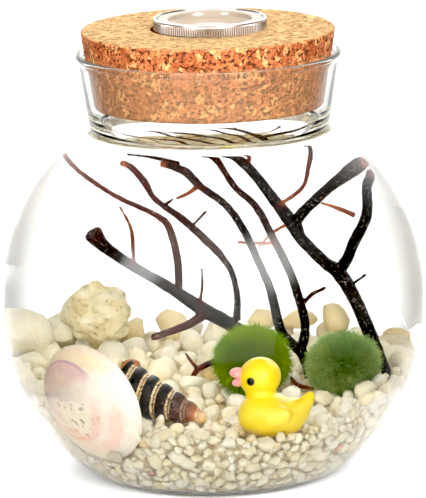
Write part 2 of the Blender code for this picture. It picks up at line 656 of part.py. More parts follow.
def sea_fans():
    """Every sea fan node: its limbs joined in one, and parted from the limb that it forks from."""
    for node, names in FAN_NODES.items():
        made = limb(names[0], 0.0, FAN)
        for other in names[1:]:
            boolean(made, limb(other), "UNION")
        for other in FORKS.get(node, []):
            boolean(made, limb(other, GAP), "DIFFERENCE")
        keep_main_body(made)
        made.name = node
        made.data.materials.clear()
        made.data.materials.append(material(node, FAN))


def contents(grow):
    """Fattened copies of everything that stands in the water or the gravel, the round ones coarser."""
    for name, (centre, axes) in MOSS_BALLS.items():
        wide = [axis * POCKET_SCALE for axis in axes]
        yield lumpy_ball(name + "_pocket", centre, wide, None, grow, 0.0, 2)
    yield from duck_parts(grow, POCKET_SCALE, 2)
    yield clam_valve("clam_pocket", grow + CLAM_ROOM, None, 3, 14)
    yield turret_shell("turret_pocket", grow + TURRET_ROOM, None, 8)
    yield lumpy_ball("coral_pocket", CORAL_CENTRE, CORAL_AXES, None, grow, CORAL_LUMP, 2)
    for name in LIMBS:
        yield limb(name, grow)


def main():
    clear_scene()
    glass_jar()
    cork_stopper()
    lamp()
    for name, (centre, axes) in MOSS_BALLS.items():
        lumpy_ball(name, centre, axes, MOSS)
    toy_duck()
    clam_valve("clam_shell", 0.0, CLAM)
    turret_shell("turret_shell", 0.0, TURRET)
    lumpy_ball("coral_lump", CORAL_CENTRE, CORAL_AXES, CORAL, 0.0, CORAL_LUMP, 2)
    sea_fans()
    gravel = filling("gravel_bed", GRAVEL, 0.0, BASE_THICKNESS + GAP, 4)
    water = filling("water", WATER, GAP, WATER_LEVEL, 6)
    for number in range(len(BACK_STONES)):
        boolean(gravel, back_stone(number), "UNION")
        boolean(water, back_stone(number, GAP), "DIFFERENCE")
    for target in (gravel, water):
        for pocket in contents(GAP):
            boolean(target, pocket, "DIFFERENCE")
        keep_main_body(target)


main()
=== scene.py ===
"""Looks of the moss ball jar: glass, water, cork, lamp, gravel, moss balls, shells, duck and sea fans."""

import math

import bmesh
import bpy
import numpy as np
from mathutils import Matrix, Vector, noise
from mathutils.kdtree import KDTree


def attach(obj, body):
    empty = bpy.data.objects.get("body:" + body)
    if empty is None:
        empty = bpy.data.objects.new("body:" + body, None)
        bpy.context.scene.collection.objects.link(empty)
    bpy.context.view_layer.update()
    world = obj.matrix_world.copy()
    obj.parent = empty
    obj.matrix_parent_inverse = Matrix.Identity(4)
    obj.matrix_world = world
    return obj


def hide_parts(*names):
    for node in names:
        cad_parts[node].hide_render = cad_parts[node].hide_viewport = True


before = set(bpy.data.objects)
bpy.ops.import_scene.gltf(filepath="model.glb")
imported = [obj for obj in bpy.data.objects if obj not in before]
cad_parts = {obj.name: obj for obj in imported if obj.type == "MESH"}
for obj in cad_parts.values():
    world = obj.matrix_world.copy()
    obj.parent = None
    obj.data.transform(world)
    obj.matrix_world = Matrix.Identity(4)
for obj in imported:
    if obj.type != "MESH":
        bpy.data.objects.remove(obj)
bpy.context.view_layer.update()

# Lengths below are millimetres, in the frame of the solids. The globe's centre is on the axis.
MM = 0.001
BODY = "root"
GLOBE_RADIUS = 60.0
GLOBE_CENTRE = 48.5
GLOBE_WALL = 1.8
INNER_RADIUS = GLOBE_RADIUS - GLOBE_WALL
BASE_THICKNESS = 3.0
FLOOR_RADIUS = 35.8
CREASE_HEIGHT = 98.2
RIM_HEIGHT = 120.0
RIM_RADIUS = 37.2
BEAD_RADIUS = 0.95
NECK_TOP_RADIUS = 36.5
NECK_WALL = 1.5
WATER_LEVEL = 97.6
WATER_OVERLAP = 0.3
GLASS_TINT = (0.62, 0.6, 0.42)
GLASS_DENSITY = 45.0
# The water's skin lies inside the glass, so light meets one surface too many, and each one mirrors less
GLASS_MIRROR = 0.25
WATER_MIRROR = 0.1

CORK_BOTTOM = 105.4
CORK_TOP = 126.4
CORK_BOTTOM_RADIUS = 32.85
CORK_TOP_RADIUS = 35.7
CORK_EDGE = 0.5
# The lamp's recess: room round the ring, and its depth below the ring
RECESS_ROOM = 0.3
RECESS_BELOW_RING = 6.9

LAMP_X = 0.7
LAMP_RADIUS = 15.85
LAMP_TOP = 129.6
RING_HEIGHT = 5.4
RING_BORE = 14.9
LENS_DISH_RADIUS = 11.6
LENS_DISH_DEPTH = 1.9
KNURL_COUNT = 142
KNURL_DEPTH = 0.16

# The gravel's top slopes up to the back and rises a little to both sides
BED_MIDDLE = 28.4
BED_SLOPE = 0.158
BED_LEVEL_FROM = 17.0
BED_SIDE_RISE = 2.6
BED_SIDE_REACH = 51.0

# Moss balls: centre, and half axes out to the tips of the fibres
MOSS_BALLS = {
    "moss_ball_left": ((8.0, -1.0, 35.0), (8.1, 8.1, 7.5)),
    "moss_ball_right": ((27.6, -1.0, 33.8), (8.1, 8.1, 6.8)),
}
# Green of the thread tips and of the broad patches, and the tip's green in the core
MOSS_GREENS = {"moss_ball_left": ((150, 182, 10), (98, 138, 4)),
               "moss_ball_right": ((190, 216, 142), (132, 166, 118))}
MOSS_CORE_GREEN = (110, 150, 40)
# How far the core and the roots lie below the tips, and the height and width of the ball's lumps
MOSS_CORE_DEPTH = 1.15
MOSS_ROOT_DEPTH = 1.25
MOSS_LUMPS = (0.03, 0.25)
# Threads: length of the short and of the long ones, share of the long ones, width and number
FIBRE_LENGTH = (0.8, 1.5)
LONG_FIBRE_LENGTH = (1.7, 2.7)
LONG_FIBRE_SHARE = 0.14
FIBRE_WIDTH = 0.15
FIBRES_PER_BALL = 34000

# Toy duck, facing -X: its side outline as stations of x, underside, back and half width
DUCK_Y = -38.0
DUCK_BODY = [(5.65, 26.6, 27.8, 0.6), (6.1, 25.0, 29.8, 2.6), (7.0, 23.8, 31.2, 4.3),
    (8.2, 22.8, 32.3, 5.5), (10.5, 21.6, 33.2, 6.6), (13.0, 21.0, 33.4, 7.1), (15.3, 20.8, 32.9, 7.2),
    (17.4, 20.7, 32.2, 6.9), (19.2, 21.0, 31.4, 6.2), (21.0, 21.8, 31.3, 5.1), (22.3, 23.0, 31.8, 3.9),
    (23.5, 25.0, 32.6, 2.7), (24.4, 27.4, 32.8, 1.9), (25.1, 29.2, 32.4, 1.2), (25.45, 30.4, 31.6, 0.5)]
DUCK_ROUNDS = [((11.35, DUCK_Y, 37.2), (5.35, 5.2, 5.2)), ((11.5, DUCK_Y, 33.0), (4.0, 4.2, 3.0)),
    ((15.5, DUCK_Y - 5.9, 27.0), (4.6, 1.6, 3.2)), ((15.5, DUCK_Y + 5.9, 27.0), (4.6, 1.6, 3.2))]
BILL_ROUNDS = [((5.7, DUCK_Y, 38.5), (2.0, 2.5, 1.35)), ((5.8, DUCK_Y, 35.95), (1.55, 2.1, 1.0)),
    ((6.6, DUCK_Y, 37.2), (1.1, 2.2, 1.6))]
DUCK_EYE = (9.1, 36.8)
DUCK_EYE_RADIUS = 1.08
DUCK_EYE_DEPTH = 0.34
DUCK_SIDES = 40

# Clam valve: the ends of its two long axes, and how far its dome stands out
CLAM_UMBO = Vector((-43.2, -20.6, 30.0))
CLAM_MARGIN = Vector((-19.0, -40.6, 26.0))
CLAM_CREST = Vector((-36.0, -32.0, 45.2))
CLAM_FOOT = Vector((-27.2, -30.6, 12.2))
CLAM_DOME = 6.6
CLAM_DOME_POWER = 2.2
CLAM_THICKNESS = 1.4
CLAM_RIDGES = 38
CLAM_RIDGE_HEIGHT = 0.07
CLAM_RINGS = 90
CLAM_SEGMENTS = 180
CLAM_SHOWS_ABOVE = 13.5

# Turret shell: wide end, tip and greatest radius
TURRET_BUTT = Vector((-22.0, -14.2, 32.2))
TURRET_TIP = Vector((-2.0, -24.5, 25.0))
TURRET_RADIUS = 6.3
TURRET_WHORLS = 6.5
TURRET_CROWDING = 1.0
TURRET_TAPER = 0.6
TURRET_TAPER_END = 1.03
TURRET_RINGS = 260
TURRET_SIDES = 96

# Coral lump at the back left: centre and half axes
CORAL_CENTRE = (-19.6, 37.0, 37.6)
CORAL_AXES = (5.0, 4.3, 5.3)
CORAL_LUMP = 0.25

# Sea fan limbs: each point is x, y, z and the diameter there
FAN_SIDES = 12
FAN_STEP = 0.8
FAN_VOXEL = 0.2
FAN_SMOOTHING = 3
SPLINTERS = 9
LIMBS = {
    "left_trunk": [(-24.2, 13, 59.6, 3.9), (-21.7, 13.5, 56.6, 2.5), (-15.7, 14, 52.1, 2.0),
        (-8.2, 14.5, 47.3, 2.2), (-2.0, 15, 42.8, 2.8), (2.8, 15.5, 39.9, 2.7), (7.5, 16, 36, 2.6),
        (10, 16.5, 31, 2.4), (10.4, 16.5, 28, 2.2)],
    "left_long": [(-6.7, 14.3, 46.5, 1.4), (-7.1, 13, 54.2, 1.5), (-8.7, 12, 60.8, 1.4),
        (-10.5, 11.5, 63.1, 1.2), (-13.4, 11, 65.0, 1.0), (-20.3, 10, 68.9, 0.9), (-28.5, 9, 75.4, 0.9),
        (-35.0, 8, 82.8, 1.1)],
    "left_curved": [(4.6, 15.6, 40.4, 1.5), (4.8, 15.3, 45.4, 1.2), (3.8, 15, 50.4, 1.1),
        (2.3, 15, 53, 1.3), (-0.1, 14.5, 56.1, 1.5), (-6.2, 14, 62.2, 1.4), (-11.4, 14, 66.3, 1.0),
        (-13.7, 14, 70.3, 1.4), (-16.6, 14, 73.7, 1.2), (-18.3, 14, 74.4, 1.1)],
    "left_side": [(-1.6, 15, 42.0, 1.9), (-4.5, 13.5, 40.4, 1.7), (-8.2, 11.5, 39.4, 1.4),
        (-12.1, 9.5, 38.5, 1.3)],
    "left_twig_low": [(-2.7, 15, 43.6, 0.6), (-2.1, 15, 47.7, 0.5), (-2.1, 15, 51.3, 0.4)],
    "left_twig_high": [(-15.7, 14, 52.8, 0.8), (-16, 13.5, 57, 0.7), (-16.5, 13, 60.8, 0.6),
        (-18.9, 12, 65.7, 0.4)],
    "left_spur_low": [(-3.9, 14.2, 60.4, 0.5), (-1.05, 14, 63.5, 0.4)],
    "left_spur_high": [(-9.8, 14, 64.8, 0.6), (-7.7, 14, 66.3, 0.4)],
    "middle_foot": [(18.6, 15, 27.6, 2.0), (18.1, 14.6, 31.4, 2.1), (17.0, 14, 34.6, 2.2)],
    "middle_left": [(17.0, 14, 34.1, 1.9), (15.2, 14, 36.0, 1.8), (13.5, 14, 38.0, 1.8),
        (12.8, 13.5, 40.5, 1.9), (11.5, 12.5, 47.5, 1.7), (9.2, 12, 53.6, 1.5), (6.8, 11.5, 59.7, 1.5),
        (3.15, 10.5, 65.8, 1.4), (-1.95, 10, 70.2, 1.5), (-5.2, 9.5, 73.9, 1.8), (-7.8, 9, 75.3, 1.4),
        (-10.2, 9, 76, 1.1)],
    "middle_left_tip": [(-6.6, 9.2, 75.9, 1.0), (-12.9, 9, 78.0, 0.7), (-17.9, 9, 78.9, 0.5)],
    "middle_left_twig": [(-2.4, 10, 70.8, 0.9), (-4.6, 10.5, 68.8, 0.8), (-7.2, 11, 67.4, 0.4)],
    "middle_right": [(16.9, 14, 34.2, 1.9), (17.8, 14.7, 37.1, 1.8), (18.0, 15, 39.7, 1.7),
        (17.1, 15, 44.4, 1.7), (15.4, 15, 50.2, 1.6), (12.8, 15, 56.1, 1.5), (9.1, 15, 63.9, 1.3),
        (5.0, 15, 68.1, 1.2), (2.2, 15, 72.8, 1.2), (1.4, 15, 74.2, 1.5), (0.0, 15, 75.1, 0.9),
        (-1.9, 15, 75.7, 0.6)],
    "middle_right_twig": [(17.6, 15, 43.4, 0.8), (19.7, 15, 45.5, 0.7), (22.4, 15, 46.8, 0.5)],
    "middle_cross_twig": [(12.6, 15, 56.2, 0.6), (8.5, 14.6, 56.4, 0.6), (5.2, 14.2, 56.8, 0.4)],
    "right_trunk": [(33.8, 12, 27.8, 2.6), (33.1, 12, 31.0, 2.6), (30.8, 12, 38.5, 2.6),
        (28.2, 13, 45.0, 2.6), (25.3, 14, 50.0, 2.9), (22.7, 14.5, 51.9, 2.4), (18.0, 16, 56.5, 2.3),
        (16.4, 17, 59.2, 2.9), (12.8, 18, 63.9, 2.2), (9.0, 19, 69.0, 1.9), (6.0, 20, 71.9, 1.8),
        (4.4, 20, 72.7, 1.1), (2.2, 20, 73.3, 0.6)],
    "right_twig": [(27.4, 13.4, 47.4, 0.6), (30.9, 13, 49.9, 0.4)],
    "right_cross_twig": [(15.6, 17.6, 59.6, 0.6), (12.0, 18, 57.4, 0.6), (8.9, 18, 54.2, 0.4)],
    "right_hook": [(7.3, 20, 70.4, 0.8), (7.8, 20, 72.6, 0.7), (6.5, 20, 73.6, 0.5)],
    "right_upper_twig": [(13.6, 18, 63.2, 0.7), (18.4, 17, 67.1, 0.7), (20.2, 15, 72.6, 0.9),
        (21.0, 14, 75.9, 1.0), (21.0, 13, 78.5, 0.8), (19.6, 13, 78.9, 0.5)],
    "right_inner": [(16.4, 17, 59.6, 2.4), (19.2, 16, 63.0, 2.1), (24.3, 14, 68.2, 2.1),
        (27.1, 13, 70.6, 2.6), (29.3, 12.6, 72.5, 3.1), (32.4, 12.5, 74.9, 3.3), (34.4, 12.5, 76.2, 2.4)],
    "right_outer": [(25.0, 14, 50.0, 2.4), (27.3, 13.5, 53.3, 2.2), (28.7, 13, 56.4, 2.2),
        (32.3, 11.5, 63.0, 2.3), (33.7, 10, 70.2, 2.3), (35.6, 9, 73.5, 2.4), (36.4, 8.6, 75.2, 2.3)],
    "right_outer_twig": [(29.6, 11.8, 62.9, 1.0), (26.3, 12.2, 64.2, 0.8), (22.6, 12.6, 65.4, 0.4)],
    "loose_left": [(4.5, 15, 33.4, 1.0), (-0.4, 14.2, 32.4, 1.1), (-3.5, 14, 30.8, 1.1),
        (-4.2, 14.4, 29.4, 0.9)],
    "loose_left_spur": [(-3.2, 14, 31.0, 0.6), (-4.3, 14, 32.4, 0.6), (-5.7, 14, 34.4, 0.4)],
    "loose_right": [(15.7, 3, 30.9, 0.6), (16.9, 2.5, 29.4, 0.8), (19.0, 2, 28.7, 0.8),
        (20.6, 1.5, 28.5, 0.7)],
}

# Bark tone at both ends of each limb: 0 is charcoal, 0.5 red-brown and 1 orange
LIMB_TONES = {
    "left_trunk": (0.12, 0.0), "left_long": (0.25, 0.75), "left_curved": (0.12, 0.5),
    "left_side": (0.3, 0.42), "left_twig_low": (0.45, 0.3), "left_twig_high": (0.5, 0.75),
    "left_spur_low": (0.3, 0.3), "left_spur_high": (0.35, 0.35), "middle_foot": (0.0, 0.0),
    "middle_left": (0.0, 0.3), "middle_left_tip": (0.3, 0.2), "middle_left_twig": (0.7, 0.75),
    "middle_right": (0.02, 0.42), "middle_right_twig": (0.3, 0.3), "middle_cross_twig": (0.85, 0.8),
    "right_trunk": (0.08, 0.1), "right_twig": (0.12, 0.12), "right_cross_twig": (0.85, 0.9),
    "right_hook": (0.5, 0.5), "right_upper_twig": (0.75, 0.45), "right_inner": (0.0, 0.3),
    "right_outer": (0.05, 0.1), "right_outer_twig": (0.6, 0.9), "loose_left": (0.3, 0.5),
    "loose_left_spur": (0.6, 0.6), "loose_right": (0.6, 0.75),
}

# The limbs that each piece of branching coral is made of, and the nodes that it stands for
FANS = {
    "sea_fan_left": ("left_", ["sea_fan_left_trunk", "sea_fan_left_long_limb", "sea_fan_left_curved_limb",
        "sea_fan_left_side_limb"]),
    "sea_fan_middle": ("middle_", ["sea_fan_middle_foot", "sea_fan_middle_left_limb",
        "sea_fan_middle_right_limb"]),
    "sea_fan_right": ("right_", ["sea_fan_right_trunk", "sea_fan_right_upper_twig",
        "sea_fan_right_inner_limb", "sea_fan_right_outer_limb"]),
    "loose_twig_left_bark": ("loose_left", ["loose_twig_left"]),
    "loose_twig_right_bark": ("loose_right", ["loose_twig_right"]),
}

# Cut ends that are torn into a few short splinters: limb, which end, and the bark tone there
TORN_ENDS = [("left_trunk", 0, 0.3), ("left_long", -1, 0.95), ("left_curved", -1, 0.9),
    ("left_side", -1, 0.5), ("middle_left", -1, 0.85), ("right_inner", -1, 0.85),
    ("right_outer", -1, 0.5)]

# Main pebbles, as in the solids: spacing, sideways shift, rise above the bed, dip between them, radii
PEBBLE_PITCH = 9.2
PEBBLE_SHIFT = 2.2
SHIFT_ACROSS = Vector((3.7, 1.9, 5.3))
SHIFT_BACK = Vector((8.1, 6.4, 2.6))
PEBBLE_RISE = 1.7
PEBBLE_DIP = 1.2
PEBBLE_RADII = (2.1, 3.2)

# Gravel stones: middle radius, spread, room kept to the glass, number of different shapes and search cell
STONE_RADIUS = 1.75
STONE_SPREAD = 0.3
STONE_CLEARANCE = 0.35
STONE_KINDS = 60
STONE_CELL = 7.2
# Their shape: unevenness, number of flat cuts, how far out they cut, and least and greatest stretch
STONE_UNEVENNESS = (0.97, 1.12)
STONE_CUTS = 13
STONE_CUT_AT = (0.58, 0.9)
STONE_STRETCH = ((1.0, 0.85, 0.7), (1.25, 1.05, 0.95))
# Layers of stones: how deep they lie, in radii or, from 1 up, in millimetres, and how many places are tried
BED_LAYERS = [("gravel_top_stones", 0.45, 14000), ("gravel_under_stones", 2.8, 9000)]
WALL_LAYERS = [("gravel_wall_stones", 0.0, 30000), ("gravel_inner_stones", 2.4, 16000)]
# Least gap between stones as a share of their radii, and the natural logarithm of the growth at the wall
PEBBLE_CLOSENESS = 0.8
BED_CLOSENESS = 0.86
WALL_CLOSENESS = 0.74
WALL_GROWTH = 0.22
# The body below the stones: how far it stays under the top and inside the glass
CORE_TOP_DEPTH = 2.4
CORE_SIDE_DEPTH = 4.6
CORE_LUMP_HEIGHT = 0.5
CORE_LUMP_WIDTH = 2.4
CORE_SEGMENTS = 96
CORE_RINGS = 30
CORE_LEVELS = 16

# Big stones that stand up from the bed, as in the solids: centre and radius
BACK_STONES = [((7.9, 47.0, 33.2), 2.7), ((13.8, 46.5, 33.6), 2.6), ((19.8, 43.5, 34.1), 2.9),
    ((-6.5, 47.0, 32.6), 3.0), ((-13.3, 46.0, 32.5), 2.9), ((-31.0, 33.0, 36.0), 3.8),
    ((-25.0, 39.5, 34.0), 3.6), ((45.0, 8.0, 35.6), 3.4), ((-44.0, 12.0, 35.8), 3.6)]
BACK_TINT = 0.86
SIDE_TINT = 0.2

# Tints above this are left to pebbles of an odd colour: place, radius and tint
ORDINARY_TINTS = 0.87
ODD_STONES = [((-16.6, 14.6, 31.8), 2.2, 1.0), ((-17.4, -37.2, 9.4), 1.6, 0.955),
    ((33.0, -31.4, 14.2), 1.4, 0.985), ((-27.0, -35.0, 13.6), 2.4, 0.935)]

# The camera was fitted to the jar's outline in the photo
IMAGE_HEIGHT = 498
CAMERA_DISTANCE = 1200.0
CAMERA_ELEVATION = 13.28
CAMERA_ROLL = 1.14
FOCAL_PIXELS = 4228.0
GLOBE_BELOW_CENTRE = 49.8

# Light of the dome by height, from straight below at 0 over the horizon at 0.5 to straight above at 1
DOME = [(0.0, 0.55), (0.38, 0.62), (0.47, 0.6), (0.5, 0.55), (0.6, 0.6), (0.75, 0.8), (0.9, 0.55),
    (1.0, 0.3)]
DOME_STRENGTH = 1.7
# It fades between these shares of the way to each side, and between these from the front to the back
SIDE_FADE = (0.5, 0.9)
SIDE_LIGHT = 0.14
FRONT_FADE = (-0.3, 0.3)
FRONT_SHARE = 0.7

# Area lights: place, target and width in metres, and power in watts
LIGHTS = {"back": ((0.1, 1.2, 1.1), (0, 0.1, 0), 1.3, 30.0),
          "front": ((0.0, -2.0, 0.55), (0, 0, 0.02), 3.0, 82.0)}

# Picture settings, and the round floor in metres, which lies a little below the jar so that no faces meet
BLACK_LEVEL = 0.026
EXPOSURE = 0.5
FLOOR_SHADE = 0.92
FLOOR_REACH = 0.085
FLOOR_DROP = 0.0002
FLOOR_SIDES = 96

# Soft glows in the dome: direction, degrees to the inner and the outer edge, and light
GLOWS = [((-0.62, -0.64, 0.42), 2.0, 14.0, 16.0), ((0.50, -0.70, 0.48), 3.0, 18.0, 16.0)]


def to_linear(colour):
    """Scene-linear colour from the 0 to 255 values that a screen shows."""
    result = []
    for value in colour:
        share = value / 255
        result.append(share / 12.92 if share <= 0.04045 else ((share + 0.055) / 1.055) ** 2.4)
    return (*result, 1.0)


class Nodes:
    """Short ways to add nodes to a tree. Three values are a screen colour, and sizes are millimetres."""

    def __init__(self, tree):
        self.tree = tree

    def feed(self, node, socket, value):
        """Give a node's input a number, a colour or a link."""
        if isinstance(value, bpy.types.NodeSocket):
            self.tree.links.new(value, node.inputs[socket])
        else:
            is_screen_colour = isinstance(value, tuple) and len(value) == 3
            node.inputs[socket].default_value = to_linear(value) if is_screen_colour else value

    def node(self, kind, output, inputs=None, **settings):
        """Add a node with its inputs and settings, and give one of its outputs."""
        made = self.tree.nodes.new("ShaderNode" + kind)
        for name, value in settings.items():
            setattr(made, name, value)
        for socket, value in (inputs or {}).items():
            self.feed(made, socket, value)
        return made.outputs[output]

    def parts(self, vector):
        """The three numbers of a vector."""
        return [self.node("SeparateXYZ", axis, {"Vector": vector}) for axis in "XYZ"]

    def ramp(self, factor, stops, smooth=False):
        """Colour ramp: stops are pairs of a place from 0 to 1 and a screen colour or a grey value."""
        made = self.tree.nodes.new("ShaderNodeValToRGB")
        made.color_ramp.interpolation = "EASE" if smooth else "LINEAR"
        elements = made.color_ramp.elements
        while len(elements) < len(stops):
            elements.new(0.5)
        for element, (place, colour) in zip(elements, stops):
            element.position = place
            grey = (colour, colour, colour, 1.0)
            element.color = to_linear(colour) if isinstance(colour, tuple) else grey
        self.feed(made, "Fac", factor)
        return made.outputs["Color"]

    def math(self, kind, *values):
        """Arithmetic on numbers."""
        return self.node("Math", 0, dict(enumerate(values)), operation=kind)

    def plus(self, first, second):
        return self.math("ADD", first, second)

    def minus(self, first, second):
        return self.math("SUBTRACT", first, second)

    def times(self, first, second):
        return self.math("MULTIPLY", first, second)

    def fade(self, value, start, end, first=0.0, last=1.0):
        """Pass softly from the first number to the last while the value goes from start to end."""
        return self.node("MapRange", "Result", {"Value": value, "From Min": start, "From Max": end,
            "To Min": first, "To Max": last}, interpolation_type="SMOOTHSTEP")


class Look(Nodes):
    """A material under construction: a Principled shader and the nodes that feed it."""

    def __init__(self, name, roughness=0.5, colour=None):
        self.material = bpy.data.materials.new(name)
        self.material.use_nodes = True
        super().__init__(self.material.node_tree)
        self.shader = self.tree.nodes["Principled BSDF"]
        self.set("Roughness", roughness)
        if colour:
            self.set("Base Color", colour)

    def set(self, socket, value):
        """Give a shader socket a number or a colour, or link a node's output to it."""
        self.feed(self.shader, socket, value)

    def place(self):
        """Object coordinates, in metres."""
        return self.node("TexCoord", "Object")

    def attribute(self, name):
        """A number stored on the mesh."""
        return self.node("Attribute", "Fac", attribute_name=name)

    def noise(self, size, detail=3.0, roughness=0.55, distortion=0.0):
        """Noise with features about size across, from 0 to 1."""
        return self.node("TexNoise", "Fac", {"Vector": self.place(), "Scale": 1 / (size * MM),
            "Detail": detail, "Roughness": roughness, "Distortion": distortion})

    def warped(self, size, amount):
        """Object coordinates pushed about by noise of a given size."""
        push = self.node("TexNoise", "Color", {"Vector": self.place(), "Scale": 1 / (size * MM)})
        return self.node("VectorMath", 0, {0: push, 1: Vector((amount * MM,) * 3), 2: self.place()},
                         operation="MULTIPLY_ADD")

    def cells(self, size, output="Distance", feature="F1", vector=None):
        """Voronoi cells about size across."""
        return self.node("TexVoronoi", output, {"Vector": vector or self.place(), "Scale": 1 / (size * MM)},
                         feature=feature)

    def mix(self, factor, first, second, kind="MIX"):
        """Mix two colours."""
        return self.node("Mix", 2, {0: factor, 6: first, 7: second}, data_type="RGBA", blend_type=kind)

    def vary(self, value, chance, amount):
        """A number pushed up and down by noise that has its middle at 0.5."""
        return self.plus(value, self.times(self.minus(chance, 0.5), amount))

    def bump(self, height, distance, strength=1.0):
        """Link a bump to the shader."""
        self.set("Normal", self.node("Bump", "Normal", {"Height": height, "Distance": distance * MM,
                                                        "Strength": strength}))

    def clear(self, share, ior, mirror=None):
        """Let light through, and dim the mirror where a number is given."""
        self.set("Transmission Weight", share)
        self.set("IOR", ior)
        if mirror is not None:
            self.set("Specular Tint", (mirror, mirror, mirror, 1.0))

    def absorb(self, colour, density):
        """Clear body colour that deepens with thickness."""
        output = next(node for node in self.tree.nodes if node.type == "OUTPUT_MATERIAL")
        volume = self.node("VolumeAbsorption", "Volume", {"Color": (*colour, 1.0), "Density": density})
        self.tree.links.new(volume, output.inputs["Volume"])


def mesh_piece(name, vertices, faces, look, nodes=(), slot=None, attributes=None, smooth_angle=None):
    """Object of the part from millimetre vertices: it rides on the body and stands for the named nodes."""
    mesh = bpy.data.meshes.new(name)
    points = np.asarray(vertices, dtype=np.float64).reshape(-1, 3) * MM
    mesh.from_pydata(points.tolist(), [], faces if isinstance(faces, list) else faces.tolist())
    for key, values in (attributes or {}).items():
        layer = mesh.attributes.new(key, "FLOAT", "POINT")
        layer.data.foreach_set("value", np.asarray(values, dtype=np.float32))
    mesh.shade_smooth()
    if smooth_angle:
        mesh.set_sharp_from_angle(angle=math.radians(smooth_angle))
    made = bpy.data.objects.new(name, mesh)
    bpy.context.scene.collection.objects.link(made)
    return dress(made, look, nodes)


def dress(made, look, nodes=()):
    """Give an object its material and its place in the part."""
    made.data.materials.clear()
    made.data.materials.append(look.material)
    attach(made, BODY)
    if nodes:
        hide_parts(*nodes)
    return made


def face_out(made):
    """Turn all faces of a closed mesh to face out."""
    body = bmesh.new()
    body.from_mesh(made.data)
    bmesh.ops.recalc_face_normals(body, faces=body.faces)
    body.to_mesh(made.data)
    body.free()
    return made


def arc(centre, radius, start, end, steps):
    """Points of an arc in a profile, angles in degrees from the horizontal."""
    angles = np.radians(np.linspace(start, end, steps + 1))
    return [(centre[0] + radius * math.cos(a), centre[1] + radius * math.sin(a)) for a in angles]


def angle_at(radius, height):
    """Angle, in degrees above the horizontal, at which a sphere about the globe's centre is at a height."""
    return math.degrees(math.asin((height - GLOBE_CENTRE) / radius))


def turned(name, profile, look, segments=128, centre_x=0.0, radius_of=None, **options):
    """Solid of revolution from a closed outline of (radius, height) points. radius_of may ripple it."""
    vertices = []
    rings = []
    for radius, height in profile:
        rings.append(len(vertices))
        for side in range(1 if radius < 1e-6 else segments):
            angle = 2 * math.pi * side / segments
            reach = radius_of(radius, height, side) if radius_of and radius > 1e-6 else radius
            vertices.append((centre_x + reach * math.cos(angle), reach * math.sin(angle), height))
    faces = []
    for here in range(len(profile)):
        there = (here + 1) % len(profile)
        low, high = rings[here], rings[there]
        low_point = profile[here][0] < 1e-6
        high_point = profile[there][0] < 1e-6
        if low_point and high_point:
            continue
        for side in range(segments):
            after = (side + 1) % segments
            if low_point:
                faces.append((low, high + after, high + side))
            elif high_point:
                faces.append((low + side, low + after, high))
            else:
                faces.append((low + side, low + after, high + after, high + side))
    return face_out(mesh_piece(name, vertices, faces, look, **options))


def glass_look():
    """Clear glass, faintly green where it is thick."""
    look = Look("clear_glass", 0.0, (1, 1, 1, 1))
    look.clear(1.0, 1.5, GLASS_MIRROR)
    look.absorb(GLASS_TINT, GLASS_DENSITY)
    return look


def water_look():
    """Clear still water."""
    look = Look("clear_water", 0.0, (1, 1, 1, 1))
    look.clear(1.0, 1.333, WATER_MIRROR)
    return look


def glass_jar():
    """Globe with a flat base, a crease and a flared neck with a rolled rim."""
    centre = (0.0, GLOBE_CENTRE)
    profile = [(0.0, 0.35), (29.5, 0.35), (31.0, 0.0), (33.0, 0.0), (34.6, 0.4), (36.2, 1.2)]
    profile += arc(centre, GLOBE_RADIUS, angle_at(GLOBE_RADIUS, 2.4), angle_at(GLOBE_RADIUS, 97.6), 60)
    profile += [(33.75, 98.3), (33.8, 99.2)]
    profile += [(NECK_TOP_RADIUS, RIM_HEIGHT - 2 * BEAD_RADIUS)]
    profile += arc((RIM_RADIUS - BEAD_RADIUS, RIM_HEIGHT - BEAD_RADIUS), BEAD_RADIUS, -60, 200, 14)
    profile += [(NECK_TOP_RADIUS - NECK_WALL, RIM_HEIGHT - 3.2), (CORK_BOTTOM_RADIUS + 0.3, CORK_BOTTOM)]
    profile += [(32.2, CREASE_HEIGHT + 1.6), (31.6, CREASE_HEIGHT + 0.6)]
    profile += arc(centre, INNER_RADIUS, angle_at(INNER_RADIUS, 98.0), angle_at(INNER_RADIUS, 4.0), 60)
    profile += [(FLOOR_RADIUS + 0.6, 3.3), (FLOOR_RADIUS - 0.6, BASE_THICKNESS), (0.0, BASE_THICKNESS)]
    return turned("glass_jar_blown", profile, glass_look(), 160, nodes=["glass_jar"], slot="glass",
        smooth_angle=50)


def water_body():
    """Water from the glass floor to its surface, which curls up at the glass. It overlaps the wall."""
    radius = INNER_RADIUS + WATER_OVERLAP
    edge = WATER_LEVEL + 1.0
    profile = [(0.0, BASE_THICKNESS - WATER_OVERLAP), (FLOOR_RADIUS - 0.5, BASE_THICKNESS - WATER_OVERLAP)]
    profile += arc((0.0, GLOBE_CENTRE), radius, angle_at(radius, 3.9), angle_at(radius, WATER_LEVEL + 0.4),
        60)
    profile += [(31.2, edge), (30.6, edge - 0.3), (30.0, edge - 0.7), (29.2, edge - 0.92),
        (27.5, WATER_LEVEL)]
    profile += [(0.0, WATER_LEVEL)]
    return turned("water_fill", profile, water_look(), 160, nodes=["water"], slot="water", smooth_angle=50)


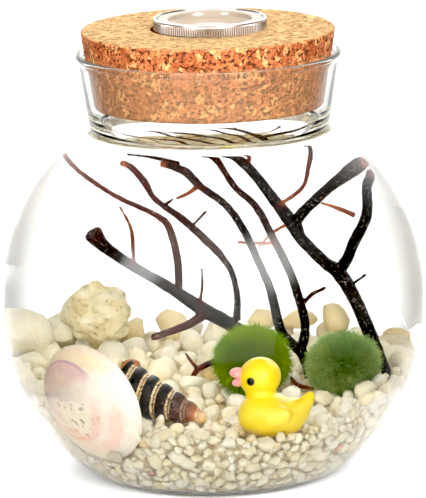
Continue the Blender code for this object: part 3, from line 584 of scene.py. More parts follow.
def cork_look():
    """Pressed cork: grains in tan, orange and brown with dark pits, paler and finer on the cut top, and a
    painted reflection that pales the side below the glass rim.
    """
    look = Look("pressed_cork", 0.85)
    warp = look.noise(1.2, 2.0)
    grain = look.cells(1.8, "Color", vector=look.warped(1.2, 0.7))
    fine = look.noise(0.5, 4.0, 0.7)
    side_grain = look.node("SeparateColor", "Red", {"Color": grain})
    top_grain = look.node("SeparateColor", "Green", {"Color": grain})
    side = look.ramp(side_grain, [(0.0, (150, 88, 54)), (0.4, (176, 110, 72)), (0.75, (196, 134, 92)),
        (1.0, (224, 186, 132))])
    streak = look.ramp(look.noise(0.8, 4.0, 0.7, 1.2), [(0.36, (120, 64, 34)), (0.46, (226, 170, 120)),
        (0.7, (255, 226, 184))])
    mottled = look.mix(0.6, side, streak, "MULTIPLY")
    cracks = look.cells(1.3, "Distance", "DISTANCE_TO_EDGE", look.warped(0.8, 0.8))
    cracks = look.ramp(cracks, [(0.0, 0.3), (0.11, 1.0)])
    mottled = look.mix(0.85, mottled, look.mix(1.0, mottled, cracks, "MULTIPLY"))
    pits = look.ramp(look.noise(1.0, 2.0, 0.6), [(0.4, 0.0), (0.45, 1.0)])
    side_colour = look.mix(pits, (70, 34, 20), mottled)
    top_fleck = look.ramp(look.noise(1.5, 5.0, 0.8), [(0.38, (92, 64, 40)), (0.46, (156, 132, 96)),
        (0.58, (184, 166, 126))])
    top_patch = look.ramp(top_grain, [(0.0, (200, 162, 116)), (1.0, (255, 236, 200))])
    top_patch = look.mix(0.75, top_fleck, top_patch, "MULTIPLY")
    is_top = look.ramp(look.parts(look.node("NewGeometry", "True Normal"))[2], [(0.55, 0.0), (0.8, 1.0)])
    # Painted reflection: below the glass rim the side is mixed toward pale tan, standing in for the veil
    # that the neck's glass mirrors over it; the mask pressed marks that band.
    height = look.math("DIVIDE", look.parts(look.place())[2], CORK_TOP * MM)
    pressed = look.ramp(height, [(0.935, 0.2), (0.955, 0.0)])
    side_colour = look.mix(pressed, side_colour, (255, 206, 152))
    look.set("Base Color", look.mix(is_top, side_colour, top_patch))
    relief = look.plus(look.times(fine, 0.4), look.times(pits, 0.6))
    look.bump(look.plus(relief, look.times(warp, 0.3)), 0.35, 0.9)
    return look


def cork_stopper():
    """Tapered cork with a crumbly surface and a round recess for the lamp."""
    recess = LAMP_RADIUS + RECESS_ROOM
    floor = LAMP_TOP - RING_HEIGHT - RECESS_BELOW_RING
    profile = [(0.0, CORK_BOTTOM)]
    profile += [(share, CORK_BOTTOM) for share in np.linspace(4, CORK_BOTTOM_RADIUS - CORK_EDGE, 16)]
    for share in np.linspace(0, 1, 44):
        rise = CORK_BOTTOM + CORK_EDGE + (CORK_TOP - CORK_BOTTOM - 2 * CORK_EDGE) * share
        out = CORK_BOTTOM_RADIUS + (CORK_TOP_RADIUS - CORK_BOTTOM_RADIUS) * share
        profile.append((out, rise))
    profile += [(share, CORK_TOP) for share in np.linspace(CORK_TOP_RADIUS - CORK_EDGE, recess, 30)]
    profile += [(recess, floor), (0.0, floor)]
    made = turned("cork_stopper_pressed", profile, cork_look(), 240, nodes=["cork_stopper"], slot="cork",
                  smooth_angle=60)
    body = bmesh.new()
    body.from_mesh(made.data)
    for vertex in body.verts:
        place = vertex.co / MM
        from_lamp = math.hypot(place.x - LAMP_X, place.y)
        if from_lamp < recess + 0.4 or place.z < CORK_BOTTOM + 0.2:
            continue
        dent = max(0.0, noise.noise(place * 0.9) - 0.28) * 1.4
        grain = 0.10 * noise.noise(place * 0.7 + Vector((7, 7, 7)))
        is_side = place.z < CORK_TOP - 0.2
        inward = Vector((-place.x, -place.y, 0)).normalized() if is_side else Vector((0, 0, -1))
        vertex.co += inward * (min(dent, 0.5) + 0.1 + grain) * MM * (1.0 if is_side else 0.35)
    body.to_mesh(made.data)
    body.free()
    return made


def chrome_look():
    """Bright plated metal with faint wear, and painted shade that darkens the grooves of the knurling."""
    look = Look("bright_plate", 0.16)
    look.set("Metallic", 1.0)
    x, y, z = look.parts(look.place())
    across = look.minus(x, LAMP_X * MM)
    out = look.math("SQRT", look.plus(look.math("POWER", across, 2.0), look.math("POWER", y, 2.0)))
    # Painted shade: on the ring's side the knurl grooves are coloured darker the deeper they go.
    groove_shade = look.math("DIVIDE", look.minus(LAMP_RADIUS * MM, out), KNURL_DEPTH * MM)
    down = look.math("DIVIDE", look.minus(LAMP_TOP * MM, z), RING_HEIGHT * MM)
    is_side = look.ramp(down, [(0.14, 0.0), (0.17, 1.0)])
    groove_shade = look.times(look.ramp(groove_shade, [(0.3, 0.0), (0.9, 1.0)]), is_side)
    look.set("Base Color", look.mix(groove_shade, (236, 232, 232), (186, 178, 176)))
    look.set("Roughness", look.ramp(look.noise(1.5), [(0.3, 0.1), (0.8, 0.24)]))
    return look


def lamp():
    """Knurled ring, dished clear lens and pale body."""
    bottom = LAMP_TOP - RING_HEIGHT

    def knurled(radius, height, side):
        on_side = radius > LAMP_RADIUS - 0.05 and height < LAMP_TOP - 0.8
        return radius - (KNURL_DEPTH if on_side and side % 4 in (2, 3) else 0.0)

    ring = [(RING_BORE, bottom), (LAMP_RADIUS, bottom), (LAMP_RADIUS, LAMP_TOP - 0.85),
        (15.7, LAMP_TOP - 0.7)]
    ring += arc((LAMP_RADIUS - 0.45, LAMP_TOP - 0.45), 0.45, -20, 90, 6)
    ring += [(LAMP_RADIUS - 0.75, LAMP_TOP), (RING_BORE, LAMP_TOP - 0.35)]
    turned("lamp_ring_knurled", ring, chrome_look(), 4 * KNURL_COUNT, LAMP_X, knurled, nodes=["lamp_ring"],
           slot="lamp_ring", smooth_angle=30)
    lens_look = Look("clear_plastic", 0.06, (176, 160, 142))
    lens_look.clear(0.45, 1.49)
    lens_look.set("Coat Weight", 0.15)
    lens_radius = RING_BORE - 0.12
    top = LAMP_TOP - 0.3
    floor = top - LENS_DISH_DEPTH
    lens = [(0.0, bottom + 0.3), (lens_radius, bottom + 0.3), (lens_radius, top - 0.3),
        (lens_radius - 0.25, top)]
    lens += [(13.2, top + 0.05), (LENS_DISH_RADIUS + 0.75, top)]
    lens += arc((LENS_DISH_RADIUS + 0.75, top - 0.75), 0.75, 90, 180, 6)
    lens += [(LENS_DISH_RADIUS - 0.3, floor + 0.4), (LENS_DISH_RADIUS - 0.8, floor + 0.08), (10.2, floor),
        (0.0, floor)]
    turned("lamp_lens_dished", lens, lens_look, 96, LAMP_X, nodes=["lamp_lens"], slot="lamp_lens",
        smooth_angle=40)
    body_look = Look("white_plastic", 0.35, (186, 180, 170))
    body_look.bump(body_look.noise(0.4), 0.02, 0.3)
    radius = LAMP_RADIUS - 0.3
    top = bottom - 0.32
    body = [(0.0, top - 6.2), (radius - 0.5, top - 6.2), (radius, top - 5.7), (radius, top), (0.0, top)]
    turned("lamp_body_moulded", body, body_look, 96, LAMP_X, nodes=["lamp_body"], slot="lamp_body",
        smooth_angle=40)


def bed_height(x, y):
    """Middle height of the gravel's top, without its pebbles, for numbers or arrays."""
    slope = BED_SLOPE * np.minimum(y, BED_LEVEL_FROM)
    return BED_MIDDLE + slope + BED_SIDE_RISE * (x / BED_SIDE_REACH) ** 2


def pebble_tops():
    """Places of the main pebbles, on the same shifted triangular lattice as the solid's."""
    row_step = PEBBLE_PITCH * math.sqrt(3) / 2
    count = math.ceil(GLOBE_RADIUS / row_step)
    tops = []
    for row in range(-count, count + 1):
        for column in range(-count, count + 1):
            place = Vector((PEBBLE_PITCH * (column + row % 2 / 2), row_step * row, 0.0))
            tops.append((place.x + PEBBLE_SHIFT * noise.noise(place + SHIFT_ACROSS),
                         place.y + PEBBLE_SHIFT * noise.noise(place + SHIFT_BACK)))
    return np.array(tops)


def pebbly_height(places, tops):
    """Height of the gravel's top with its main pebbles, for rows of places."""
    nearest = np.min(np.hypot(places[:, None, 0] - tops[:, 0], places[:, None, 1] - tops[:, 1]), axis=1)
    share = np.clip(nearest * math.sqrt(3) / PEBBLE_PITCH, 0, 1)
    return bed_height(places[:, 0], places[:, 1]) + PEBBLE_RISE - (PEBBLE_RISE + PEBBLE_DIP) * share


def smooth_path(points, step):
    """Catmull-Rom curve through points of any dimension, with a point about every step."""
    ends = np.array(points, dtype=float)
    path = np.vstack([2 * ends[0] - ends[1], ends, 2 * ends[-1] - ends[-2]])
    result = []
    for here in range(1, len(path) - 2):
        before, start, end, after = path[here - 1:here + 3]
        pieces = max(1, round(float(np.linalg.norm(end[:3] - start[:3])) / step))
        for t in np.arange(pieces) / pieces:
            bend = 2 * before - 5 * start + 4 * end - after
            twist = 3 * start - before - 3 * end + after
            result.append(0.5 * (2 * start + (end - before) * t + bend * t * t + twist * t ** 3))
    result.append(ends[-1])
    return np.array(result)


def grid_faces(rings, count, first=0):
    """Quads that join rings of vertices, each ring with the same count."""
    faces = []
    for ring in range(rings - 1):
        near = first + ring * count
        for side in range(count):
            after = (side + 1) % count
            faces.append((near + side, near + after, near + count + after, near + count + side))
    return faces


class Shape:
    """Vertices and faces gathered from several closed forms, in millimetres."""

    def __init__(self):
        self.vertices = []
        self.faces = []

    def add(self, vertices, faces):
        first = len(self.vertices)
        self.vertices += [tuple(vertex) for vertex in vertices]
        self.faces += [tuple(first + corner for corner in face) for face in faces]

    def tube(self, places, radii, sides=FAN_SIDES):
        """Closed round tube along a path."""
        vertices = []
        count = len(places)
        for here in range(count):
            along = Vector(places[min(here + 1, count - 1)] - places[max(here - 1, 0)]).normalized()
            across = along.cross(Vector((0, 1, 0))).normalized()
            upward = across.cross(along)
            for side in range(sides):
                angle = 2 * math.pi * side / sides
                spoke = math.cos(angle) * across + math.sin(angle) * upward
                vertices.append(Vector(places[here]) + float(radii[here]) * spoke)
        faces = grid_faces(count, sides)
        faces += [tuple(range(sides))[::-1], tuple(range((count - 1) * sides, count * sides))]
        self.add(vertices, faces)

    def ball(self, centre, axes, detail=4):
        """Ellipsoid."""
        body = bmesh.new()
        bmesh.ops.create_icosphere(body, subdivisions=detail, radius=1.0)
        vertices = [[middle + part * half for middle, part, half in zip(centre, vertex.co, axes)]
                    for vertex in body.verts]
        self.add(vertices, [[vertex.index for vertex in face.verts] for face in body.faces])
        body.free()

    def united(self, voxel, smoothing=0):
        """One closed skin round all the forms: its vertices, faces and normals."""
        mesh = bpy.data.meshes.new("united")
        mesh.from_pydata(self.vertices, [], self.faces)
        holder = bpy.data.objects.new("united", mesh)
        bpy.context.scene.collection.objects.link(holder)
        remesh = holder.modifiers.new("remesh", "REMESH")
        remesh.mode = "VOXEL"
        remesh.voxel_size = voxel
        if smoothing:
            smooth = holder.modifiers.new("smooth", "SMOOTH")
            smooth.factor = 0.5
            smooth.iterations = smoothing
        graph = bpy.context.evaluated_depsgraph_get()
        result = bpy.data.meshes.new_from_object(holder.evaluated_get(graph))
        vertices = np.empty(len(result.vertices) * 3)
        result.vertices.foreach_get("co", vertices)
        normals = np.empty(len(result.vertices) * 3)
        result.vertices.foreach_get("normal", normals)
        faces = [tuple(face.vertices) for face in result.polygons]
        bpy.data.objects.remove(holder, do_unlink=True)
        bpy.data.meshes.remove(result)
        return vertices.reshape(-1, 3), faces, normals.reshape(-1, 3)


def unit_rows(vectors):
    """Rows scaled to length one."""
    return vectors / np.linalg.norm(vectors, axis=1)[:, None]


def wobble(places, size, seed=0.0):
    """Smooth noise from about -1 to 1 at each place."""
    shift = Vector((seed, seed, seed))
    return np.array([noise.noise(Vector(place) / size + shift) for place in places])


def bark_look():
    """Dry bark of a sea fan: charcoal, red-brown or orange by its tone, with pale specks and pits."""
    look = Look("fan_bark", 0.62)
    tone = look.attribute("tone")
    blotch = look.noise(1.6, 3.0)
    mixed = look.vary(tone, blotch, 0.35)
    colour = look.ramp(mixed, [(0.0, (8, 7, 8)), (0.18, (20, 13, 13)), (0.4, (62, 20, 14)),
        (0.65, (116, 54, 34)), (0.9, (172, 100, 56))])
    specks = look.ramp(look.noise(0.5, 2.0, 0.7), [(0.61, 0.0), (0.67, 1.0)])
    colour = look.mix(look.times(specks, 0.5), colour, (200, 186, 172))
    look.set("Base Color", colour)
    look.bump(look.plus(look.noise(0.35, 3.0), look.times(specks, 0.3)), 0.16, 0.8)
    look.set("Specular IOR Level", 0.35)
    return look


def torn_end(shape, samples, name, end, tone, rng):
    """Short splinters that stick out past a cut end."""
    path = smooth_path(LIMBS[name], FAN_STEP)
    tip, inner = (path[0], path[1]) if end == 0 else (path[-1], path[-2])
    along = (tip[:3] - inner[:3]) / np.linalg.norm(tip[:3] - inner[:3])
    radius = tip[3] / 2
    for _ in range(SPLINTERS):
        spread = rng.normal(size=3)
        spread -= along * spread.dot(along)
        spread *= radius * rng.uniform(0.2, 0.8) / np.linalg.norm(spread)
        root = tip[:3] + spread - along * 0.8
        length = 0.8 + rng.uniform(0.3, 1.1) * min(1.0, radius)
        reach = root + along * length + spread * rng.uniform(0.0, 0.5)
        places = np.array([root, (root + reach) / 2, reach])
        shape.tube(places, [0.32, 0.26, 0.12], 6)
        samples += [(place, tone) for place in places[1:]]


def sea_fans():
    """Each fan in one seamless skin, coloured by the tone of the nearest limb, with knobbly bark."""
    look = bark_look()
    rng = np.random.default_rng(11)
    for piece, (start, nodes) in FANS.items():
        shape = Shape()
        samples = []
        for name, points in LIMBS.items():
            if not name.startswith(start):
                continue
            path = smooth_path(points, FAN_STEP)
            shape.tube(path[:, :3], path[:, 3] / 2)
            first, last = LIMB_TONES[name]
            samples += [(place[:3], first + (last - first) * share)
                        for place, share in zip(path, np.linspace(0, 1, len(path)))]
            for torn, end, tone in TORN_ENDS:
                if torn == name:
                    torn_end(shape, samples, name, end, tone, rng)
        vertices, faces, normals = shape.united(FAN_VOXEL, FAN_SMOOTHING)
        tree = KDTree(len(samples))
        for index, (place, _) in enumerate(samples):
            tree.insert(place, index)
        tree.balance()
        tones = np.empty(len(vertices))
        for index, place in enumerate(vertices):
            near = tree.find_n(place, 3)
            tones[index] = sum(samples[item][1] for _, item, _ in near) / 3
        knobs = 0.10 * wobble(vertices, 1.3, 3.0) + 0.05 * wobble(vertices, 0.45, 9.0)
        vertices = vertices + normals * (knobs + 0.06)[:, None]
        mesh_piece(piece, vertices, faces, look, nodes, "sea_fan", {"tone": tones})


def moss_look(name, tip, patch):
    """Green threads with painted shade that darkens them toward the roots, bright at the tips, with broad
    patches of another green.
    """
    look = Look(name, 0.7)
    share = look.attribute("share")
    tint = look.attribute("tint")
    # Painted shade: the threads darken to half their green toward the roots, deep in the coat.
    painted_root_shades = [(0.0, 0.5), (0.45, 0.74), (1.0, 1.0)]
    colour = look.ramp(share, [(place, tuple(shade * part for part in tip)) for place, shade in painted_root_shades])
    warm = look.mix(look.times(tint, 0.35), colour, (176, 196, 60))
    broad = look.ramp(look.noise(11.0, 1.5), [(0.44, 0.0), (0.6, 0.7)])
    patched = look.mix(broad, warm, patch)
    specks = look.ramp(look.noise(0.45, 2.0), [(0.68, 0.0), (0.74, 0.7)])
    look.set("Base Color", look.mix(specks, patched, (226, 236, 190)))
    look.set("Specular IOR Level", 0.3)
    look.set("Sheen Weight", 0.15)
    look.set("Sheen Tint", (190, 220, 120))
    look.bump(look.noise(0.3), 0.05, 0.4)
    return look


def moss_ball(name, centre, axes, look, core_look, seed):
    """Lumpy core, darkened by the painted root shade, and a dense coat of thin curved threads that reach
    the ball's full size.
    """
    rng = np.random.default_rng(seed)
    centre = np.array(centre)
    axes = np.array(axes)
    shape = Shape()
    shape.ball((0, 0, 0), (1, 1, 1), 5)
    ways = np.array(shape.vertices)
    lump_height, lump_width = MOSS_LUMPS
    lumps = 1 + lump_height * wobble(ways, lump_width, seed)
    core = centre + ways * (axes - MOSS_CORE_DEPTH) * lumps[:, None]
    # The core takes the colour from a quarter of the way up a thread, so the painted root shade darkens it.
    mesh_piece(name + "_core", core, shape.faces, core_look, [name], "moss",
        {"share": np.full(len(core), 0.25), "tint": rng.random(len(core))})
    ways = unit_rows(rng.normal(size=(FIBRES_PER_BALL, 3)))
    lumps = 1 + lump_height * wobble(ways, lump_width, seed)
    roots = centre + ways * (axes - MOSS_ROOT_DEPTH) * lumps[:, None]
    outward = unit_rows(ways / axes)
    tuft = np.stack([wobble(ways, 0.22, seed + offset) for offset in (20.0, 40.0, 60.0)], axis=1)
    lean = unit_rows(outward + 0.6 * tuft + 0.28 * rng.normal(size=ways.shape))
    across = unit_rows(np.cross(lean, rng.normal(size=ways.shape)))
    is_long = rng.random(FIBRES_PER_BALL) < LONG_FIBRE_SHARE
    long_ones = rng.uniform(*LONG_FIBRE_LENGTH, FIBRES_PER_BALL)
    short_ones = rng.uniform(*FIBRE_LENGTH, FIBRES_PER_BALL)
    length = np.where(is_long, long_ones, short_ones)[:, None]
    half = across * FIBRE_WIDTH / 2
    middle = roots + (0.6 * lean + 0.4 * outward) * length * 0.5
    tips = roots + (0.75 * lean + 0.25 * outward) * length + 0.12 * rng.normal(size=ways.shape)
    vertices = np.stack([roots - half, roots + half, middle + half * 0.8, middle - half * 0.8, tips],
        axis=1)
    first = (np.arange(FIBRES_PER_BALL) * 5)[:, None]
    quads = (first + np.array([[0, 1, 2, 3]])).tolist()
    points = (first + np.array([[3, 2, 4]])).tolist()
    share = np.tile([0.0, 0.0, 0.5, 0.5, 1.0], FIBRES_PER_BALL)
    tint = np.repeat(rng.random(FIBRES_PER_BALL) ** 2, 5)
    mesh_piece(name + "_threads", vertices.reshape(-1, 3), quads + points, look, [name], "moss",
               {"share": share, "tint": tint})


def toy_duck():
    """Moulded duck: one smooth yellow skin, a pink bill in two lobes and round black eyes."""
    yellow = Look("duck_yellow", 0.42)
    yellow.set("Base Color",
               yellow.ramp(yellow.noise(5.0, 2.0), [(0.3, (246, 212, 6)), (0.7, (250, 222, 24))]))
    yellow.set("Coat Weight", 0.25)
    yellow.bump(yellow.noise(0.8, 2.0), 0.03, 0.4)
    body = Shape()
    stations = smooth_path(DUCK_BODY, 0.5)
    rings = []
    for x, low, high, half in stations:
        for side in range(DUCK_SIDES):
            angle = 2 * math.pi * side / DUCK_SIDES
            rings.append((x, DUCK_Y + half * math.cos(angle),
                (low + high) / 2 + (high - low) / 2 * math.sin(angle)))
    faces = grid_faces(len(stations), DUCK_SIDES)
    faces += [tuple(range(DUCK_SIDES))[::-1], tuple(range(len(rings) - DUCK_SIDES, len(rings)))]
    body.add(rings, faces)
    for centre, axes in DUCK_ROUNDS:
        body.ball(centre, axes)
    vertices, faces, _ = body.united(0.25, 8)
    mesh_piece("toy_duck_body", vertices, faces, yellow, ["toy_duck"], "duck")
    pink = Look("duck_pink", 0.42)
    pink.set("Base Color", pink.ramp(pink.noise(1.5), [(0.3, (246, 152, 150)), (0.7, (252, 176, 172))]))
    bill = Shape()
    for centre, axes in BILL_ROUNDS:
        bill.ball(centre, axes)
    vertices, faces, _ = bill.united(0.15, 5)
    mesh_piece("toy_duck_bill", vertices, faces, pink, ["toy_duck"], "duck")
    black = Look("duck_eye_black", 0.3)
    black.set("Base Color", black.ramp(black.noise(0.6), [(0.3, (8, 6, 5)), (0.7, (30, 22, 14))]))
    centre, axes = DUCK_ROUNDS[0]
    x, z = DUCK_EYE
    for name, side in (("near", -1), ("far", 1)):
        flat = 1 - ((x - centre[0]) / axes[0]) ** 2 - ((z - centre[2]) / axes[2]) ** 2
        place = (x, centre[1] + side * axes[1] * math.sqrt(flat), z)
        dot = Shape()
        dot.ball((0, 0, 0), (DUCK_EYE_RADIUS, DUCK_EYE_RADIUS, DUCK_EYE_DEPTH))
        outward = Vector(((x - centre[0]) / axes[0] ** 2, (place[1] - centre[1]) / axes[1] ** 2,
                          (z - centre[2]) / axes[2] ** 2)).normalized()
        turn = outward.to_track_quat("Z", "Y")
        vertices = [turn @ Vector(vertex) + Vector(place) for vertex in dot.vertices]
        mesh_piece(f"toy_duck_eye_{name}", vertices, dot.faces, black, ["toy_duck"], "duck")


def clam_frame():
    """Centre, the two in-plane axes and the outward normal of the clam valve, with its half sizes."""
    along = (CLAM_MARGIN - CLAM_UMBO).normalized()
    normal = along.cross(CLAM_CREST - CLAM_FOOT).normalized()
    if normal.y > 0:
        normal = -normal
    upward = normal.cross(along)
    if upward.z < 0:
        upward = -upward
    centre = (CLAM_UMBO + CLAM_MARGIN) / 2
    high = (CLAM_CREST - centre).dot(upward)
    low = (centre - CLAM_FOOT).dot(upward)
    return centre, along, upward, normal, (CLAM_MARGIN - CLAM_UMBO).length / 2, high, low


def clam_look():
    """Porcelain shell: growth bands in mauve, peach and cream, and brown flecks on a pale ray."""
    look = Look("clam_shell_bands", 0.3)
    growth = look.attribute("growth")
    ray = look.attribute("ray")
    soft = look.noise(6.0, 3.0)
    fine = look.vary(growth, soft, 0.05)
    upper = look.ramp(fine, [(0.0, (252, 228, 208)), (0.25, (252, 226, 204)), (0.5, (250, 220, 202)),
        (0.7, (244, 208, 202)), (0.745, (214, 172, 178)), (0.765, (254, 236, 206)), (0.88, (255, 235, 196)),
        (1.0, (248, 226, 206))])
    pale = look.ramp(fine, [(0.0, (240, 216, 210)), (0.3, (250, 232, 218)), (0.5, (252, 238, 218)),
        (1.0, (255, 250, 236))])
    pink = look.ramp(fine, [(0.0, (228, 194, 186)), (0.3, (252, 234, 198)), (0.58, (252, 240, 212)),
        (0.66, (248, 202, 178)), (0.74, (254, 238, 218)), (0.8, (252, 216, 198)), (0.87, (251, 214, 196)),
        (0.92, (255, 246, 230))])
    lower = look.ramp(fine, [(0.0, (222, 188, 174)), (0.35, (244, 214, 182)), (0.45, (252, 232, 196)),
        (0.52, (242, 190, 142)), (0.58, (252, 228, 190)), (0.64, (242, 178, 134)), (0.7, (250, 220, 186)),
        (1.0, (248, 238, 216))])
    swing = look.vary(ray, look.noise(3.0), 0.1)
    colour = look.mix(look.ramp(swing, [(0.33, 0.0), (0.38, 1.0)], True), lower, pink)
    colour = look.mix(look.ramp(swing, [(0.50, 0.0), (0.57, 1.0)], True), colour, pale)
    colour = look.mix(look.ramp(swing, [(0.62, 0.0), (0.70, 1.0)], True), colour, upper)
    lines = look.math("FRACT", look.times(fine, CLAM_RIDGES))
    lines = look.ramp(lines, [(0.0, 0.0), (0.5, 1.0), (1.0, 0.0)], True)
    uneven = look.ramp(look.noise(2.4), [(0.4, 0.02), (0.7, 0.3)])
    colour = look.mix(look.times(lines, uneven), colour, (204, 158, 146), "MULTIPLY")
    fleck_place = look.ramp(swing, [(0.30, 0.0), (0.38, 1.0), (0.52, 1.0), (0.60, 0.0)])
    fleck_reach = look.ramp(growth, [(0.05, 0.0), (0.15, 1.0), (0.6, 1.0), (0.72, 0.0)])
    flecks = look.ramp(look.noise(1.5, 1.0, 0.4), [(0.62, 0.0), (0.68, 1.0)])
    flecks = look.times(look.times(flecks, fleck_place), fleck_reach)
    colour = look.mix(look.times(flecks, 0.8), colour, (160, 100, 66))
    look.set("Base Color", colour)
    look.set("Coat Weight", 0.3)
    look.bump(lines, 0.03, 0.4)
    return look


def clam_shell():
    """Domed valve with fine growth ridges that spread from its beak."""
    centre, along, upward, normal, half, high, low = clam_frame()
    vertices = []
    growths = []
    rays = []
    for skin in (1, -1):
        for ring in range(CLAM_RINGS + 1):
            share = ring / CLAM_RINGS
            for side in range(1 if ring == 0 else CLAM_SEGMENTS):
                angle = 2 * math.pi * side / CLAM_SEGMENTS
                u, v = math.cos(angle), math.sin(angle)
                tall = high if v > 0 else low
                across_plane, up_plane = half * share * u, tall * share * v
                ahead = (across_plane + half) / half
                rise = up_plane / tall
                growth = 0.0 if ahead < 1e-4 else min(1.0, (ahead ** 2 + rise ** 2) / (2 * ahead))
                ray = math.atan2(rise, max(0.01, ahead)) / math.pi + 0.5
                dome = CLAM_DOME * (1 - share ** CLAM_DOME_POWER) * (1 - 0.12 * share * u)
                edge = (1 - share ** 14) if skin == 1 else 0.0
                wave = math.sin(growth * CLAM_RIDGES * 2 * math.pi)
                ridge = CLAM_RIDGE_HEIGHT * wave if skin == 1 else 0.0
                lift = skin * CLAM_THICKNESS / 2 * (1 - 0.75 * share ** 10) + ridge * edge
                place = centre + along * across_plane + upward * up_plane
                vertices.append(place + normal * (dome + lift))
                growths.append(growth)
                rays.append(ray)
    count = len(vertices) // 2
    faces = []
    for first in (0, count):
        faces += [(first, first + 1 + side, first + 1 + (side + 1) % CLAM_SEGMENTS)
                  for side in range(CLAM_SEGMENTS)]
        faces += grid_faces(CLAM_RINGS, CLAM_SEGMENTS, first + 1)
    edge = 1 + (CLAM_RINGS - 1) * CLAM_SEGMENTS
    for side in range(CLAM_SEGMENTS):
        after = (side + 1) % CLAM_SEGMENTS
        faces.append((edge + side, edge + after, count + edge + after, count + edge + side))
    face_out(mesh_piece("clam_shell_valve", vertices, faces, clam_look(), ["clam_shell"], "clam",
                        {"growth": growths, "ray": rays}, 50))


def turret_look():
    """Dark glossy whorls with blue-black and purple-brown bands, and mottled cream along the seams."""
    look = Look("turret_shell_bands", 0.5)
    turn = look.attribute("turn")
    reach = look.attribute("reach")
    rough = look.vary(turn, look.noise(1.2, 4.0, 0.7), 0.2)
    dark = look.ramp(reach, [(0.0, (10, 15, 18)), (0.45, (8, 8, 10)), (0.6, (32, 14, 14)),
        (0.78, (86, 44, 34)), (0.87, (160, 86, 46)), (0.96, (244, 206, 150))])
    streaks = look.ramp(look.noise(0.5, 4.0, 0.7), [(0.5, 0.0), (0.66, 1.0)])
    front = look.ramp(reach, [(0.5, 0.12), (0.68, 0.4)])
    dark = look.mix(look.times(streaks, front), dark, (176, 160, 146))
    seam = look.ramp(look.noise(0.7, 3.0, 0.65), [(0.36, (110, 62, 34)), (0.43, (216, 180, 126)),
        (0.6, (248, 232, 196))])
    band = look.ramp(rough, [(0.0, 0.3), (0.05, 0.3), (0.07, 1.0), (0.14, 1.0), (0.18, 0.0), (0.82, 0.0),
        (0.86, 1.0), (0.94, 1.0), (0.97, 0.4), (1.0, 0.3)])
    dots = look.ramp(look.cells(1.3), [(0.2, 1.0), (0.28, 0.0)])
    band = look.times(band, look.minus(1.0, look.times(dots, 0.9)))
    band = look.times(band, look.ramp(reach, [(0.55, 1.0), (0.7, 0.35), (0.84, 0.35), (0.93, 0.8)]))
    look.set("Base Color", look.mix(band, dark, seam))
    look.set("Specular IOR Level", 0.3)
    look.bump(look.noise(0.4, 3.0), 0.12, 0.8)
    return look


def turret_shell():
    """Turret shell whose whorls bulge between a spiral seam."""
    along = (TURRET_TIP - TURRET_BUTT).normalized()
    across = along.cross(Vector((0, 0, 1))).normalized()
    upward = across.cross(along)
    length = (TURRET_TIP - TURRET_BUTT).length
    vertices = []
    turns = []
    reaches = []
    for ring in range(TURRET_RINGS + 1):
        share = ring / TURRET_RINGS
        for side in range(TURRET_SIDES):
            around = side / TURRET_SIDES
            angle = 2 * math.pi * around
            spiral = TURRET_WHORLS * (1 - (1 - share) ** TURRET_CROWDING) + around
            turn = spiral - math.floor(spiral)
            body = TURRET_RADIUS * max(0.03, TURRET_TAPER_END - share) ** TURRET_TAPER
            bulge = 0.90 + 0.15 * math.sin(math.pi * turn) ** 0.7
            open_end = min(1.0, 0.5 + share / 0.1)
            close = min(1.0, (1 - share) / 0.03) ** 0.5
            radius = max(0.12, body * bulge * open_end * close)
            spoke = math.cos(angle) * across + math.sin(angle) * upward
            place = TURRET_BUTT + along * (share * length) + spoke * radius
            grain = 0.06 * noise.noise(place * 1.1) + 0.03 * noise.noise(place * 3.1)
            vertices.append(place + spoke * grain)
            turns.append(turn)
            reaches.append(share)
    faces = grid_faces(TURRET_RINGS + 1, TURRET_SIDES)
    faces += [tuple(range(TURRET_SIDES)), tuple(range(TURRET_RINGS * TURRET_SIDES, len(vertices)))]
    face_out(mesh_piece("turret_shell_spiral", vertices, faces, turret_look(), ["turret_shell"], "turret",
                        {"turn": turns, "reach": reaches}))


def coral_look():
    """Pale porous stone."""
    look = Look("pale_coral", 0.8)
    patch = look.noise(3.0, 4.0, 0.6)
    colour = look.ramp(patch, [(0.3, (226, 208, 158)), (0.5, (242, 230, 190)), (0.7, (252, 246, 222))])
    pores = look.ramp(look.cells(0.9), [(0.1, 0.0), (0.28, 1.0)])
    colour = look.mix(look.times(look.minus(1.0, pores), 0.4), colour, (190, 160, 106))
    look.set("Base Color", colour)
    look.bump(look.plus(pores, look.noise(0.6, 4.0)), 0.3, 0.8)
    return look


def coral_lump():
    """Lumpy block of pale coral."""
    shape = Shape()
    shape.ball((0, 0, 0), (1, 1, 1), 6)
    ways = np.array(shape.vertices)
    middle = Vector(CORAL_CENTRE)
    size = 1 + CORAL_LUMP * np.array([noise.noise(Vector(way) * 1.9 + middle) for way in ways])
    size += 0.08 * wobble(ways, 0.22, 5.0) + 0.03 * wobble(ways, 0.08, 8.0)
    vertices = np.array(CORAL_CENTRE) + ways * np.array(CORAL_AXES) * size[:, None]
    mesh_piece("coral_lump_porous", vertices, shape.faces, coral_look(), ["coral_lump"], "coral")


def gravel_look():
    """Chunky stones in ivory, cream and pale yellow, with a few pink, tan and brown ones."""
    look = Look("cream_gravel", 0.5)
    tint = look.attribute("tint")
    base = look.ramp(tint, [(0.0, (254, 250, 236)), (0.3, (252, 246, 224)), (0.55, (249, 239, 208)),
        (0.75, (252, 246, 228)), (0.86, (250, 232, 186)), (0.92, (236, 216, 178)), (0.935, (214, 206, 182)),
        (0.955, (206, 158, 142)), (0.97, (250, 240, 214)), (0.985, (240, 186, 158)),
        (0.992, (248, 234, 204)), (1.0, (176, 116, 66))])
    mottle = look.ramp(look.noise(1.3, 4.0, 0.6), [(0.3, (250, 240, 212)), (0.6, (255, 255, 250))])
    look.set("Base Color", look.mix(0.5, base, mottle, "MULTIPLY"))
    grit = look.plus(look.noise(0.5, 4.0, 0.65), look.times(look.noise(1.4, 2.0), 0.8))
    look.bump(grit, 0.34, 0.9)
    return look


